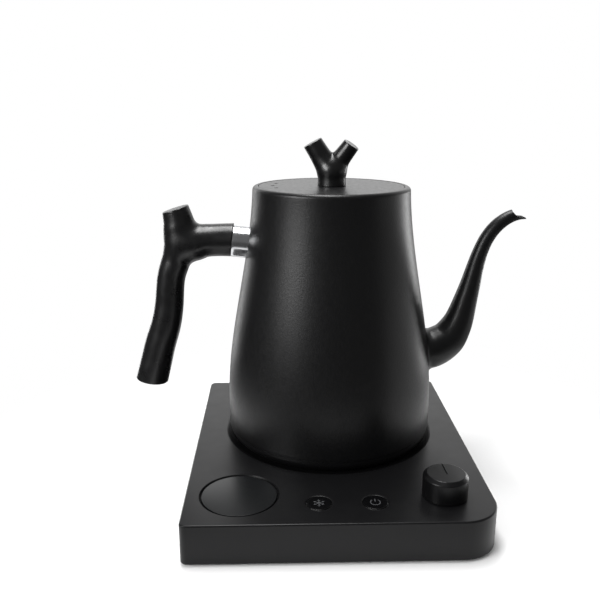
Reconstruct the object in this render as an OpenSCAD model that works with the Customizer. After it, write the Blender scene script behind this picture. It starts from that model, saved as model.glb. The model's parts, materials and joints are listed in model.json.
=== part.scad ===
// Cordless electric gooseneck kettle on its square power base.
// Millimetres, +Z up, +X towards the spout, -Y towards the controls.
// The origin is the middle of the base's footprint, on the table.

/* [Base case] */
// Width of the base, left to right
base_w = 177.5; // [170:0.5:200]
// Depth of the base, front to back
base_d = 204; // [198:1:230]
// Height of the case without its feet
base_h = 24; // [23:0.5:30]
// Thickness of the case's top skin
skin_t = 2.6; // [2.4:0.1:3]
// Thickness of the case's side walls
side_t = 2.4; // [1.8:0.1:3]
// Radius of the three tight corners
corner_r = 4; // [3:0.5:8]
// Radius of the wide corner beside the dial
front_corner_r = 22; // [16:1:24]
// Bevel along the top edge
edge_bevel = 0.8; // [0.4:0.1:1.2]
// Thickness of the bottom plate
plate_t = 2.5; // [2.4:0.1:3]
// Height of the feet below the case
foot_proud = 1.5; // [1:0.1:3]
// Radius of a rubber foot
foot_r = 8; // [6:0.5:10]
// Distance from the case's edge to the middle of a foot
foot_inset = 28; // [26:0.5:30]
// Distance from the case's edge to the middle of a case screw
post_inset = 11; // [10:0.5:12]

/* [Kettle seat] */
// Distance of the kettle's axis behind the middle of the base
kettle_y = 22; // [16:1:24]
// Gap between the kettle's side and the edge of its well
well_gap = 0.9; // [0.7:0.1:4]
// Depth of the well
well_depth = 2.5; // [2:0.1:3]
// Width of the well's rounded edge
well_lip = 6; // [2:0.5:7]
// Width from the centre piece to the outside of the ring that the kettle stands on
stand_w = 15.6; // [14.6:0.2:19]
// Gap between the centre piece and the case
dome_gap = 0.3; // [0.2:0.05:0.5]
// Running height of the kettle over the floor of its well
seat_gap = 0.2; // [0.1:0.05:0.4]

/* [Connector] */
// Outer radius of the base's connector
connector_r = 19; // [18:0.1:19.5]
// Height of the connector over the well's floor
connector_rise = 15.4; // [14.5:0.1:16]
// Thickness of each insulating ring
pole_wall = 1.7; // [1.5:0.1:1.9]
// Width of each slot between the rings
pole_slot = 3.2; // [2.8:0.1:3.3]
// Depth of the slots
slot_depth = 12; // [11:0.5:12.5]
// Free space round the connector inside the kettle's socket
socket_gap = 1.3; // [1:0.1:1.6]
// Wall of the kettle's socket
socket_t = 2.9; // [2.5:0.1:3.2]
// Running clearance between the socket and its collar
turn_gap = 0.2; // [0.1:0.05:0.4]

/* [Controls] */
// Radius of the dial
dial_r = 13; // [11:0.5:15]
// Height of the dial over the case
dial_rise = 14.3; // [12:0.1:18]
// Bevel round the dial's top
dial_bevel = 2; // [1:0.1:2.5]
// Radius of each push button
button_r = 7.15; // [6:0.05:8]
// Gap round each button
button_gap = 0.25; // [0.2:0.05:0.4]
// Travel of each button
button_travel = 0.8; // [0.4:0.1:1]
// Radius of the display window
window_r = 21.7; // [20:0.1:23]
// Thickness of the display window
window_t = 2; // [1.5:0.1:2.2]
// Radius of the dial's shaft
shaft_r = 3; // [2.5:0.1:3.2]

/* [Kettle body] */
// Radius of the body at the seam
body_r = 68.4; // [66:0.1:69]
// Radius of the body at the rim
neck_r = 50.4; // [50:0.1:53]
// Height of the steel body, from the seam to the rim
body_h = 160; // [155:1:180]
// Height over the seam at which the body begins to narrow
taper_from = 18; // [14:1:22]
// Thickness of the steel
shell_t = 1; // [0.8:0.1:1.2]
// Height of the bottom cover under the seam
cover_h = 9; // [9:0.1:11]
// Inset of the ring that the kettle stands on from its side
foot_ring_in = 9.4; // [7.4:0.1:10]
// Wall of the bottom cover
cover_t = 2.4; // [2:0.1:2.6]
// Height of the heating plate over the seam
plate_rise = 22; // [22:0.5:23.5]

/* [Lid] */
// Radius of the mouth
mouth_r = 43.4; // [41:0.1:43.8]
// Width of the ledge that the lid sits on
ledge_w = 3.4; // [3:0.1:3.6]
// Depth of the ledge under the rim
ledge_depth = 1.6; // [1.5:0.1:2.5]
// Thickness of the lid's disc
lid_t = 1.3; // [1:0.05:1.4]
// Gap round the lid
lid_gap = 0.3; // [0.2:0.05:0.5]
// Depth of the liner under the lid's disc
liner_h = 12; // [10:0.5:16]

/* [Handle and spout] */
// Radius of the steel ferrule
ferrule_r = 10.4; // [9.5:0.1:10.8]
// Height of the ferrule's foot over the seam
ferrule_rise = 123.4; // [121:0.2:125]
// Length of the ferrule along its top
ferrule_len = 10; // [8:0.5:14]
// Slope of the ferrule, square to the wall
ferrule_tilt = 6; // [4:0.5:8]
// Wall of the spout
spout_t = 1; // [0.8:0.1:1.2]
// Height of the spout's root over the seam
spout_rise = 49.6; // [46:0.2:54]
// Radius of a strainer hole behind the spout
strainer_r = 1.6; // [1:0.1:1.8]

/* [Hidden] */
$fn = 64;
eps = 0.01;     // overshoot of a cut past a face
fit = 0.1;      // radial gap between fixed pieces that slip together
cut = 400;      // length of a cutting block, longer than any part

// Levels of the base, over the table
top_z = foot_proud + base_h;
skin_z = top_z - skin_t;                 // underside of the top skin
floor_z = top_z - well_depth;            // floor of the well
well_under_z = floor_z - skin_t;         // underside of the well
plate_top_z = foot_proud + plate_t;      // inner face of the bottom plate
connector_z = floor_z + connector_rise;  // top of the connector
slot_z = connector_z - slot_depth;       // bottom of the connector's slots

// The kettle's footprint
well_r = body_r + well_gap;              // the well that it stands in
foot_ring_r = body_r - foot_ring_in;     // outside of the ring that it stands on
dome_r = foot_ring_r - stand_w;          // the centre piece within that ring

// Levels of the kettle, over the table
seam_z = floor_z + seat_gap + cover_h;

// Places of the controls, measured in from the front corners of the base
window_x = -base_w / 2 + 31.2;
window_y = -base_d / 2 + 31.5;
buttons_y = -base_d / 2 + 21.5;
hold_x = -12.1;
power_x = 19.9;
dial_x = base_w / 2 - 28;
dial_y = -base_d / 2 + 28;

// Fixings of the case and the bush for the cord
post_outer = 4;
case_screw_r = 1.3;
dome_flange_r = dome_r + 12.6;
dome_flange_t = 1.6;
dome_screw_ring = dome_r + 8.1;
gland_r = 6;
gland_bore = 3.6;
gland_x = 48;
gland_z = foot_proud + base_h / 2 - 1;

// The control board and what stands on it
board_t = 1.6;
board_z = skin_z - 7.9;                  // top face of the control board
board_from = [-base_w / 2 + 17, -base_d / 2 + 8];
board_to = [base_w / 2 - 21.4, -base_d / 2 + 46];
board_screw_spots = [[board_from[0] + 5, board_to[1] - 5], [board_to[0] - 5, board_to[1] - 5],
    [board_from[0] + 45, board_from[1] + 5], [board_to[0] - 32, board_from[1] + 5]];
encoder_w = 12;
bush_r = shaft_r + 0.6;
bush_rise = 4;
nut_t = 2;
stem_r = 1.75;
switch_w = 6;
switch_h = 3.5;
flange_t = 1.2;

// The power board, on standoffs from the bottom plate
power_from = [-base_w / 2 + 7, -22];
power_size = [46, 84];
power_z = plate_top_z + 3;               // underside of the power board
power_spots = [for (x = [5, power_size[0] - 5], y = [5, power_size[1] - 5])
    [power_from[0] + x, power_from[1] + y]];

// The connector: insulating rings from the outside in
pole_pitch = pole_wall + pole_slot;
poles = 4;
function pole_outer(i) = connector_r - i * pole_pitch;
contact_t = 0.4;
contact_sunk = 5;                        // top of the contacts, down from the connector's top
blade_t = 1;
pin_r = 1;
flange_r = 28;
flange_z = 14.5;
connector_flange_t = 2;
collar_r = connector_r + 3;
dome_step = 1.2;

// The kettle's socket, in the kettle's own frame with z = 0 at the seam
socket_bore = connector_r + socket_gap;
socket_r = socket_bore + socket_t;
socket_low = -cover_h + 3;               // lower end, level with the raised middle of the cover
socket_roof = connector_z + 1 - seam_z;  // underside of the socket's roof
socket_roof_t = 2.5;
shoulder_low = 4;                        // underside of the socket's shoulder
shoulder_t = 2;
shoulder_r = socket_r + 2.2;

// The kettle's shell
rim_round = 2.5;
taper_to = body_h + 7;                   // the curve ends just over the rim
taper_steps = 24;
plate_sheet = 1.2;
spreader_t = 3;
spreader_low = plate_rise - plate_sheet - spreader_t;
element_ring_r = 38;
element_r = 3.3;
element_gap_angle = 60;
post_r = 3;
post_ring_r = foot_ring_r - post_r - 2;   // the posts land inside the foot ring
spreader_r = post_ring_r - post_r - 1;
cover_posts_n = 3;
probe_r = 2.5;
probe_ring_r = spreader_r + probe_r + 5;
gasket_t = 0.6;
block_low = socket_roof + socket_roof_t + 0.2;
disc_t = 0.8;                            // a bimetal disc
block_top = spreader_low - disc_t;
block_r = 22;
ear_r = socket_r + 4;                    // where the block is screwed up, clear of the socket
post_start = 90;                         // angle of the first post under the heating plate
upstand_h = 7;

// The lid, in the kettle's own frame
ledge_r = mouth_r + ledge_w;
lid_r = ledge_r - lid_gap;
lid_low = body_h - ledge_depth + 0.2;
lid_top = lid_low + lid_t;
liner_r = mouth_r - 2;
neck_h = 12;
lid_screw_r = 2;

// The branch-shaped knob: each limb is a list of [x, y, z over the lid, radius]
knob_stem = [[0.3, 0, -3, 9.3], [0.3, 0, 4, 8.9], [0.2, 0, 9.5, 9.1]];
knob_left = [[0.2, 0, 9.5, 9.1], [-4.6, 0.4, 15.4, 7.2], [-8.2, 0.8, 20.6, 6.5], [-15, 1.4, 31.3, 6.1]];
knob_right = [[0.2, 0, 9.5, 9.1], [4.2, -0.8, 15.2, 6.6], [7.6, -2, 19.8, 5.7], [14.8, -4.6, 29.9, 5.2]];
knob_left_cut = [-12, 1.2, 27.2];        // middle of the left limb's flat end
knob_left_lean = -29;
knob_right_cut = [12.2, -3.7, 26.1];     // middle of the right limb's flat end
knob_right_lean = 33;
knob_right_nod = 10;                     // how far that end turns towards the controls

// The branch-shaped grip, in the kettle's own frame: [x, y, z over the seam, radius]
grip_trunk = [[-123.2, 0, 19, 10.9], [-120.8, 0, 28.7, 10.7], [-114.9, 0, 51, 10.3], [-110, 0, 66.4, 9.9],
    [-107.2, 0, 81, 9.4], [-105, 0, 98.9, 9.1], [-101.4, 0, 110.5, 9.3], [-97.4, 0, 121.5, 9.1],
    [-98, 0, 131, 10.3], [-98.4, 0, 137.4, 9.7], [-101.8, 0, 152, 7.7]];
grip_arm = [[-97.4, 0, 122, 10.2], [-89.5, 0, 122.8, 11.8], [-83, 0, 124.2, 10.9], [-74, 0, 124.7, 10.5],
    [-56, 0, 125.2, 11.1]];
grip_foot = [-120.8, 0, 28.7];           // middle of the trunk's flat lower end
grip_foot_lean = 9.5;
grip_head = [-100.1, 0, 145.4];          // middle of the trunk's flat upper end
grip_head_lean = -17;
stud_r = 3;
stud_len = 34;
insert_r = 4.6;
insert_len = 14;

// The spout's centre line: [x, z from the root, radius], from inside the wall to past the tip
spout_line = [[55, -1.4, 14.2], [66, -0.6, 14], [73.4, 1.5, 13.3], [80.6, 6.8, 12.2], [85.4, 14.5, 10.6],
    [88.3, 22, 9.3], [91.1, 33, 7.9], [93.8, 44.3, 6.7], [96.1, 55.3, 5.7], [98.8, 65.6, 5.05],
    [102.7, 75.4, 4.7], [108.1, 83.2, 4.5], [115, 88.8, 4.2], [122.5, 91.7, 3.9], [131, 92.2, 3.7]];
spout_sides = 24;
spout_steps = 2;
// The rim of the pouring mouth seen from the side, back to front: [x, z from the root]
mouth_rim = [[117.4, 98], [118, 93.4], [120.8, 90.4], [126, 90.1], [128.7, 87.6], [128.7, 80]];

// Routes of the leads inside the base, over the table, and inside the kettle, over the seam
lead_r = 1.2;
wire_x = power_from[0] + power_size[0] - 8.25;   // inside the terminal block
base_lead_routes = [
    [[wire_x, 11, 11.1], [wire_x + 7, 11, 11.1], [wire_x + 16, 13, 8.6], [-18, 18, 8.4], [-9.8, 22, 10.4]],
    [[wire_x, 19, 11.1], [wire_x + 7, 19, 11.1], [wire_x + 16, 23, 9.5], [-14, 28, 8.6], [-1.8, 30, 10.4]],
    [[wire_x, 27, 11.1], [wire_x + 7, 27, 11.1], [wire_x + 16, 33, 9], [-12, 38, 8], [2, 35, 8],
        [6.2, 24, 10.4]]
];
kettle_lead_r = 1;
kettle_lead_routes = [
    [[-14.5, 18, 14], [-15.5, 24, 11], [-19.8, 30.5, 6]],
    [[14.5, 18, 14], [15.5, 24, 11], [19.8, 30.5, 6]],
    [[0, -23.2, 14], [0, -33, 9.6], [0, 7.5 - probe_ring_r, 9.6], [0, -probe_ring_r, 13.8]]
];

// ---------- helpers ----------

function ease(t) = t <= 0 ? 0 : t >= 1 ? 1 : t * t * (3 - 2 * t);
function vessel_r(s) = body_r - (body_r - neck_r) * ease((s - taper_from) / (taper_to - taper_from));
rim_r = vessel_r(body_h - rim_round);

// An arc of points in a profile: centre, radii across and up, from one angle to another
function arc(centre, across, up, from, to, steps) =
    [for (i = [0:steps]) let (a = from + (to - from) * i / steps)
        [centre[0] + across * cos(a), centre[1] + up * sin(a)]];

// One point of a smooth curve through a list, a share t of the way from item i to the next
function between(list, i, t) =
    let (last = len(list) - 1,
        a = list[max(i - 1, 0)], b = list[i], c = list[min(i + 1, last)], d = list[min(i + 2, last)])
    0.5 * (2 * b + (c - a) * t + (2 * a - 5 * b + 4 * c - d) * t * t + (3 * b - a - 3 * c + d) * t * t * t);
function smooth_path(list, steps) =
    concat([for (i = [0:len(list) - 2], k = [0:steps - 1]) between(list, i, k / steps)], [list[len(list) - 1]]);

module spin(n, r, start = 0) {
    for (i = [0:n - 1]) rotate(start + i * 360 / n) translate([r, 0, 0]) children();
}

module tube(outer, inner, h) {
    difference() {
        cylinder(r = outer, h = h);
        translate([0, 0, -eps]) cylinder(r = inner, h = h + 2 * eps);
    }
}

// A pan-head screw with its head at the bottom and its shank pointing up
module screw(head_r, head_h, shank_r, shank_len) {
    cylinder(r = head_r, h = head_h);
    translate([0, 0, head_h - eps]) cylinder(r = shank_r, h = shank_len + eps);
}

// A limb through a list of [x, y, z, radius]
module limb(stations, sides = 24) {
    for (i = [0:len(stations) - 2]) hull() {
        for (p = [stations[i], stations[i + 1]])
            translate([p[0], p[1], p[2]]) sphere(r = p[3], $fn = sides);
    }
}

// A lead through a list of points
module lead(points, r) {
    for (i = [0:len(points) - 2]) hull() {
        for (p = [points[i], points[i + 1]]) translate(p) sphere(r = r, $fn = 8);
    }
}

module in_kettle() {
    translate([0, kettle_y, seam_z]) children();
}

// The base's outline: three tight corners and the wide one at the front right, all drawn in by inset
module base_outline(inset = 0) {
    x = base_w / 2;
    y = base_d / 2;
    s = corner_r;
    f = front_corner_r;
    polygon([[-x + s, -y + inset], [x - f, -y + inset], [x - inset, -y + f], [x - inset, y - s],
        [x - s, y - inset], [-x + s, y - inset], [-x + inset, y - s], [-x + inset, -y + s]]);
    for (c = [[-x + s, -y + s, s], [x - s, y - s, s], [-x + s, y - s, s], [x - f, -y + f, f]])
        translate([c[0], c[1]]) circle(r = c[2] - inset);
}

wide_shift = (front_corner_r - corner_r) / 3;    // moves a post in from the wide corner
post_spots = [[-base_w / 2 + post_inset, -base_d / 2 + post_inset],
    [base_w / 2 - post_inset - wide_shift, -base_d / 2 + post_inset + wide_shift],
    [base_w / 2 - post_inset, base_d / 2 - post_inset],
    [-base_w / 2 + post_inset, base_d / 2 - post_inset]];
foot_spots = [for (x = [-1, 1], y = [-1, 1]) [x * (base_w / 2 - foot_inset), y * (base_d / 2 - foot_inset)]];

// ---------- base ----------

module base_shell() {
    color("#1c1c1d") difference() {
        union() {
            difference() {
                hull() {
                    translate([0, 0, foot_proud]) linear_extrude(base_h - edge_bevel) base_outline();
                    translate([0, 0, foot_proud]) linear_extrude(base_h) base_outline(edge_bevel);
                }
                difference() {
                    translate([0, 0, foot_proud - eps])
                        linear_extrude(base_h - skin_t + eps) base_outline(side_t);
                    translate([0, kettle_y, well_under_z]) cylinder(r = well_r + 1.5, h = cut);
                }
            }
            for (p = post_spots) translate([p[0], p[1], plate_top_z])
                cylinder(r = post_outer, h = skin_z - plate_top_z + eps);
            for (p = board_screw_spots) translate([p[0], p[1], board_z])
                cylinder(r = post_outer - 1, h = skin_z - board_z + eps);
            translate([0, kettle_y, well_under_z - dome_flange_t + fit])
                spin(3, dome_screw_ring, 90) cylinder(r = post_outer - 0.8, h = dome_flange_t);
        }
        translate([0, kettle_y, 0]) {
            rotate_extrude($fn = 96) polygon(concat([[0, floor_z], [well_r - well_lip, floor_z]],
                arc([well_r - well_lip, top_z], well_lip, -well_depth, 90, 0, 6),
                [[well_r, top_z + 1], [0, top_z + 1]]));
            cylinder(r = dome_r + dome_gap, h = cut);
            translate([0, 0, well_under_z - dome_flange_t])
                spin(3, dome_screw_ring, 90) cylinder(r = case_screw_r + 0.05, h = dome_flange_t + 1.8);
        }
        for (p = post_spots) translate([p[0], p[1], 0]) cylinder(r = case_screw_r + 0.1, h = plate_top_z + 9);
        for (p = board_screw_spots) translate([p[0], p[1], 0]) cylinder(r = 1.1, h = skin_z - 1);
        translate([window_x, window_y, top_z - window_t]) cylinder(r = window_r + 0.25, h = cut);
        translate([window_x, window_y, 0]) cylinder(r = window_r - 3, h = cut);
        for (x = [hold_x, power_x]) translate([x, buttons_y, 0]) cylinder(r = button_r + button_gap, h = cut);
        translate([dial_x, dial_y, 0]) cylinder(r = bush_r + fit, h = cut);
        translate([gland_x, base_d / 2 - 2 * side_t, gland_z]) rotate([-90, 0, 0])
            cylinder(r = gland_r + fit, h = 3 * side_t);
    }
}

module bottom_plate() {
    color("#202021") difference() {
        union() {
            translate([0, 0, foot_proud]) linear_extrude(plate_t) base_outline(side_t + 0.25);
            for (p = power_spots) translate([p[0], p[1], plate_top_z - eps])
                cylinder(r = 3, h = power_z - plate_top_z + eps);
        }
        for (p = foot_spots) translate([p[0], p[1], 0]) cylinder(r = foot_r + 0.1, h = foot_proud + 1.4);
        for (p = post_spots) translate([p[0], p[1], 0]) {
            cylinder(r = case_screw_r + 0.3, h = cut);
            cylinder(r = 3.1, h = foot_proud + 1.5);
        }
        for (p = power_spots) translate([p[0], p[1], foot_proud + 1]) cylinder(r = 1.1, h = cut);
        // cooling slots under the power board
        for (i = [0:6]) translate([-22 + 7 * i, -34, 0]) cube([2, 22, cut]);
    }
}

module base_feet() {
    color("#2a2a2a") for (p = foot_spots) translate([p[0], p[1], 0]) {
        cylinder(r1 = foot_r - 0.6, r2 = foot_r, h = 0.6);
        translate([0, 0, 0.6 - eps]) cylinder(r = foot_r, h = foot_proud + 0.8);
    }
}

module case_screws() {
    color("#8c8c8e") for (p = post_spots) translate([p[0], p[1], foot_proud + 0.1])
        difference() {
            screw(2.8, 1.4, case_screw_r, 9);
            translate([0, 0, -eps]) cylinder(r = 1.2, h = 0.9, $fn = 6);
        }
}

// A bush that the mains cord would leave by, with a flange on each side of the back wall
module cord_gland() {
    color("#151515") translate([gland_x, base_d / 2, gland_z]) rotate([-90, 0, 0]) difference() {
        union() {
            translate([0, 0, -side_t - 2]) cylinder(r = gland_r + 1.6, h = 2 - fit);
            translate([0, 0, -side_t - fit - eps]) cylinder(r = gland_r, h = side_t + 2 * fit + 2 * eps);
            translate([0, 0, fit]) cylinder(r1 = gland_r + 1.4, r2 = gland_r + 0.4, h = 1.4);
        }
        translate([0, 0, -side_t - 3]) cylinder(r = gland_bore, h = side_t + 6);
    }
}

module centre_dome() {
    low = well_under_z - dome_flange_t;
    color("#1f1f20") translate([0, kettle_y, 0]) difference() {
        union() {
            rotate_extrude($fn = 96) polygon(concat(
                [[connector_r + 0.3, floor_z + 2], [collar_r - 0.5, floor_z + 2], [collar_r, floor_z + 1.5]],
                [[collar_r, floor_z + 0.9]],
                [for (i = [1:6]) let (t = i / 6) [collar_r + (dome_r - 3.4 - collar_r) * t,
                    floor_z + 0.9 - (0.9 + dome_step) * t * t]],
                [[dome_r, floor_z - dome_step], [dome_r, well_under_z], [dome_flange_r, well_under_z],
                    [dome_flange_r, low], [dome_r - 3.4, low], [dome_r - 5.4, low + 0.6],
                    [connector_r + 0.3, low + 0.6]]));
            translate([0, 0, flange_z + connector_flange_t])
                spin(3, 24.5, 30) cylinder(r = 3, h = low + 0.7 - flange_z - connector_flange_t);
        }
        translate([0, 0, low - 1]) spin(3, dome_screw_ring, 90) cylinder(r = post_outer - 0.6, h = 3);
        spin(3, 24.5, 30) cylinder(r = 1.2, h = floor_z - 2);
    }
}

module dome_screws() {
    color("#8c8c8e") translate([0, kettle_y, well_under_z - dome_flange_t - 1.4])
        spin(3, dome_screw_ring, 90) screw(4.4, 1.4, case_screw_r, 3);
}

module connector_housing() {
    color("#0d0d0e") translate([0, kettle_y, 0]) difference() {
        union() {
            translate([0, 0, flange_z]) cylinder(r = flange_r, h = connector_flange_t);
            translate([0, 0, flange_z + connector_flange_t - eps])
                cylinder(r = connector_r, h = connector_z - flange_z - connector_flange_t - 0.6 + eps);
            translate([0, 0, connector_z - 0.6 - eps])
                cylinder(r1 = connector_r, r2 = connector_r - 0.5, h = 0.6 + eps);
        }
        for (i = [0:poles - 2]) translate([0, 0, slot_z])
            tube(pole_outer(i) - pole_wall, pole_outer(i + 1), cut);
        translate([0, 0, slot_z]) cylinder(r = pole_outer(poles - 1) - pole_wall, h = cut);
        spin(3, 24.5, 30) cylinder(r = 1.4, h = cut / 10);
        // slot for the earth spring
        translate([connector_r - pole_wall - 1, -2, floor_z + 5]) cube([pole_wall + 2, 4, 7]);
    }
}

module connector_contacts() {
    color("#c9a04a") translate([0, kettle_y, 0]) {
        for (i = [1:poles - 1]) translate([0, 0, slot_z])
            tube(pole_outer(i) + contact_t, pole_outer(i), slot_depth - contact_sunk);
        translate([0, 0, slot_z]) cylinder(r = pin_r, h = slot_depth - contact_sunk);
        translate([0, 0, connector_z - contact_sunk - eps]) cylinder(r1 = pin_r, r2 = pin_r / 2, h = 0.8);
        for (x = [-8, 0, 8]) translate([x - 0.4, x == 0 ? 5 : -3, flange_z - 6]) cube([0.8, 6, 6]);
    }
}

// A bowed strip that earths the kettle against the connector's side
module earth_spring() {
    color("#b9bcc0") translate([connector_r - pole_wall, kettle_y, floor_z + 5.2]) difference() {
        translate([0, -1.8, 0]) cube([pole_wall + 0.7, 3.6, 6.6]);
        translate([pole_wall - 0.8 - 1, -3, 1]) cube([1.5, 6, 4.6]);
        translate([pole_wall + 0.1, -3, -eps]) rotate([0, 14, 0]) translate([0, 0, -2]) cube([4, 6, 3.2]);
        translate([pole_wall + 0.1, -3, 6.6]) rotate([0, -14, 0]) translate([0, 0, -1.2]) cube([4, 6, 4]);
    }
}

module connector_screws() {
    color("#8c8c8e") translate([0, kettle_y, flange_z - 1.3])
        spin(3, 24.5, 30) screw(2.6, 1.3, 1.1, 5);
}

module connector_leads() {
    color("#7a2a22") for (route = base_lead_routes) lead(route, lead_r);
}

// ---------- controls ----------

module display_window() {
    color("#2b2d2f") translate([window_x, window_y, top_z - window_t]) {
        cylinder(r = window_r, h = window_t - 0.3);
        translate([0, 0, window_t - 0.3 - eps]) cylinder(r1 = window_r, r2 = window_r - 0.5, h = 0.5);
    }
}

module display_module() {
    size = [30, 16, top_z - window_t - 0.6 - board_z];
    color("#d8d4c8") translate([window_x - size[0] / 2, window_y - size[1] / 2, board_z]) difference() {
        cube(size);
        for (i = [0:2]) translate([2.5 + 8.8 * i, 3, size[2] - 0.5]) cube([7, 10, 1]);
    }
}

module control_board() {
    color("#1d5c3a") difference() {
        translate([board_from[0], board_from[1], board_z - board_t])
            cube([board_to[0] - board_from[0], board_to[1] - board_from[1], board_t]);
        for (p = board_screw_spots) translate([p[0], p[1], 0]) cylinder(r = 1.3, h = cut);
    }
}

module board_screws() {
    color("#8c8c8e") for (p = board_screw_spots) translate([p[0], p[1], board_z - board_t - 1.3])
        screw(2.5, 1.3, 1, 6);
}

module encoder_housing() {
    color("#9a9c9f") translate([dial_x, dial_y, 0]) difference() {
        union() {
            translate([-encoder_w / 2, -encoder_w / 2, board_z]) cube([encoder_w, encoder_w, skin_z - board_z]);
            translate([0, 0, skin_z - eps]) cylinder(r = bush_r, h = skin_t + bush_rise + eps);
        }
        translate([0, 0, board_z + 1.5]) cylinder(r = shaft_r + 0.05, h = cut);
    }
}

module encoder_nut() {
    color("#b9bcc0") translate([dial_x, dial_y, top_z]) difference() {
        cylinder(r = bush_r + 2.2, h = nut_t, $fn = 6);
        translate([0, 0, -eps]) cylinder(r = bush_r + fit / 2, h = nut_t + 2 * eps);
    }
}

module tact_switches() {
    color("#3a3a3c") for (x = [hold_x, power_x]) translate([x, buttons_y, board_z]) difference() {
        translate([-switch_w / 2, -switch_w / 2, 0]) cube([switch_w, switch_w, switch_h]);
        translate([0, 0, switch_h - 1.8]) cylinder(r = stem_r + fit, h = 3);
    }
}

// A cap with a flange that stops against the underside of the skin
module button_cap(x) {
    color("#0c0c0d") translate([x, buttons_y, 0]) {
        translate([0, 0, skin_z - flange_t - 0.05]) cylinder(r = button_r + 1.2, h = flange_t);
        translate([0, 0, skin_z - 0.05 - eps]) cylinder(r = button_r, h = skin_t - 0.25);
        translate([0, 0, top_z - 0.3 - 2 * eps]) cylinder(r1 = button_r, r2 = button_r - 0.3, h = 0.3);
    }
}

module button_stem(x) {
    from = board_z + switch_h - 1.8 + button_travel + 0.1;
    color("#d0cdc4") translate([x, buttons_y, from])
        cylinder(r = stem_r, h = skin_z - flange_t - 0.05 - from);
}

module dial_knob() {
    low = top_z + 0.4;
    high = top_z + dial_rise;
    recess = bush_rise + 0.8;
    color("#141415") translate([dial_x, dial_y, 0]) difference() {
        union() {
            translate([0, 0, low]) cylinder(r = dial_r, h = high - low - dial_bevel);
            translate([0, 0, high - dial_bevel - eps])
                cylinder(r1 = dial_r, r2 = dial_r - dial_bevel, h = dial_bevel + eps);
        }
        translate([0, 0, low - eps]) cylinder(r = bush_r + 3.2, h = recess);
        translate([0, 0, low]) cylinder(r = shaft_r + 0.02, h = high - low - 3);
        // pointer groove, from near the middle to the edge
        translate([0, 0, high - 0.6]) rotate(110) translate([1, -0.6, 0]) cube([dial_r, 1.2, 2]);
    }
}

module dial_shaft() {
    from = board_z + 2;
    color("#b9bcc0") translate([dial_x, dial_y, from])
        cylinder(r = shaft_r, h = top_z + dial_rise - 3.2 - from);
}

// ---------- power board ----------

module power_board() {
    color("#1d5c3a") difference() {
        translate([power_from[0], power_from[1], power_z]) cube([power_size[0], power_size[1], board_t]);
        for (p = power_spots) translate([p[0], p[1], 0]) cylinder(r = 1.4, h = cut);
    }
}

module power_board_screws() {
    color("#8c8c8e") for (p = power_spots) translate([p[0], p[1], power_z + board_t + 1.3])
        rotate([180, 0, 0]) screw(2.5, 1.3, 1, 3.6);
}

module on_power_board(x, y) {
    translate([power_from[0] + x, power_from[1] + y, power_z + board_t]) children();
}

module relay() {
    color("#2660a8") on_power_board(12, 52) cube([19, 15.5, 9.5]);
}

module transformer() {
    color("#c7a24b") on_power_board(6, 14) difference() {
        cube([17, 16, 9.5]);
        translate([3, -1, 3]) cube([3, 18, 4]);
        translate([11, -1, 3]) cube([3, 18, 4]);
    }
}

module capacitors() {
    color("#b98a2e") on_power_board(27, 6) cube([9, 15, 8]);
    color("#30343c") for (y = [60, 69]) on_power_board(37, y) cylinder(r = 4, h = 8.4);
}

module terminal_block() {
    color("#e6e3da") on_power_board(power_size[0] - 14, 28) difference() {
        cube([10, 26, 6.5]);
        for (i = [0:2]) translate([5, 5 + 8 * i, 2]) cylinder(r = 2.2, h = 6);
        for (i = [0:2]) translate([4, 3 + 8 * i, 1]) cube([8, 4, 3]);
    }
}

// A flat lead with a plug under the control board and one on the power board
module ribbon_cable() {
    width = 12;
    plug_l = 4;
    plug_h = 2.2;
    sheet = 0.8;
    from = [board_to[1] - plug_l - 2, board_z - board_t - plug_h];
    to = [power_from[1] + 2, power_z + board_t];
    color("#8d9096") translate([power_from[0] + 22 + width, 0, 0]) rotate([90, 0, -90]) {
        linear_extrude(width) {
            translate([-from[0] - plug_l, from[1]]) square([plug_l, plug_h - fit]);
            translate([-to[0] - plug_l, to[1] + fit / 2]) square([plug_l, plug_h]);
        }
        translate([0, 0, 1]) linear_extrude(width - 2) polygon([
            [-from[0] - plug_l + eps, from[1] + 0.4], [-from[0] - plug_l + eps, from[1] + 0.4 + sheet],
            [-to[0] - eps, to[1] + 0.6 + sheet], [-to[0] - eps, to[1] + 0.6]]);
    }
}

// ---------- kettle socket ----------

module socket_housing() {
    color("#101011") in_kettle() rotate_extrude($fn = 96) polygon([
        [socket_bore + 0.8, socket_low], [socket_bore, socket_low + 0.8], [socket_bore, socket_roof],
        [0, socket_roof], [0, socket_roof + socket_roof_t],
        [socket_r, socket_roof + socket_roof_t], [socket_r, shoulder_low + shoulder_t],
        [shoulder_r, shoulder_low + shoulder_t], [shoulder_r, shoulder_low],
        [socket_r, shoulder_low], [socket_r, socket_low]]);
}

module socket_contacts() {
    blade_len = slot_depth - 3;
    color("#c9a04a") in_kettle() {
        for (i = [0:poles - 2]) let (mid = pole_outer(i) - pole_wall - pole_slot / 2)
            translate([0, 0, socket_roof - blade_len]) tube(mid + blade_t / 2, mid - blade_t / 2, blade_len);
        translate([0, 0, socket_roof - blade_len]) tube(pin_r + 1.2, pin_r + 0.4, blade_len);
    }
}

// ---------- kettle body ----------

// The side of the steel shell as a profile drawn in by inset, from the seam up to a height
function shell_side(inset, top) = concat([[body_r - inset, 0]],
    [for (i = [0:taper_steps]) let (s = taper_from + (top - taper_from) * i / taper_steps)
        [vessel_r(s) - inset, s]]);

module vessel_solid() {
    rotate_extrude($fn = 128)
        polygon(concat([[0, 0]], shell_side(0, body_h - rim_round), [[rim_r, body_h], [0, body_h]]));
}

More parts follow.
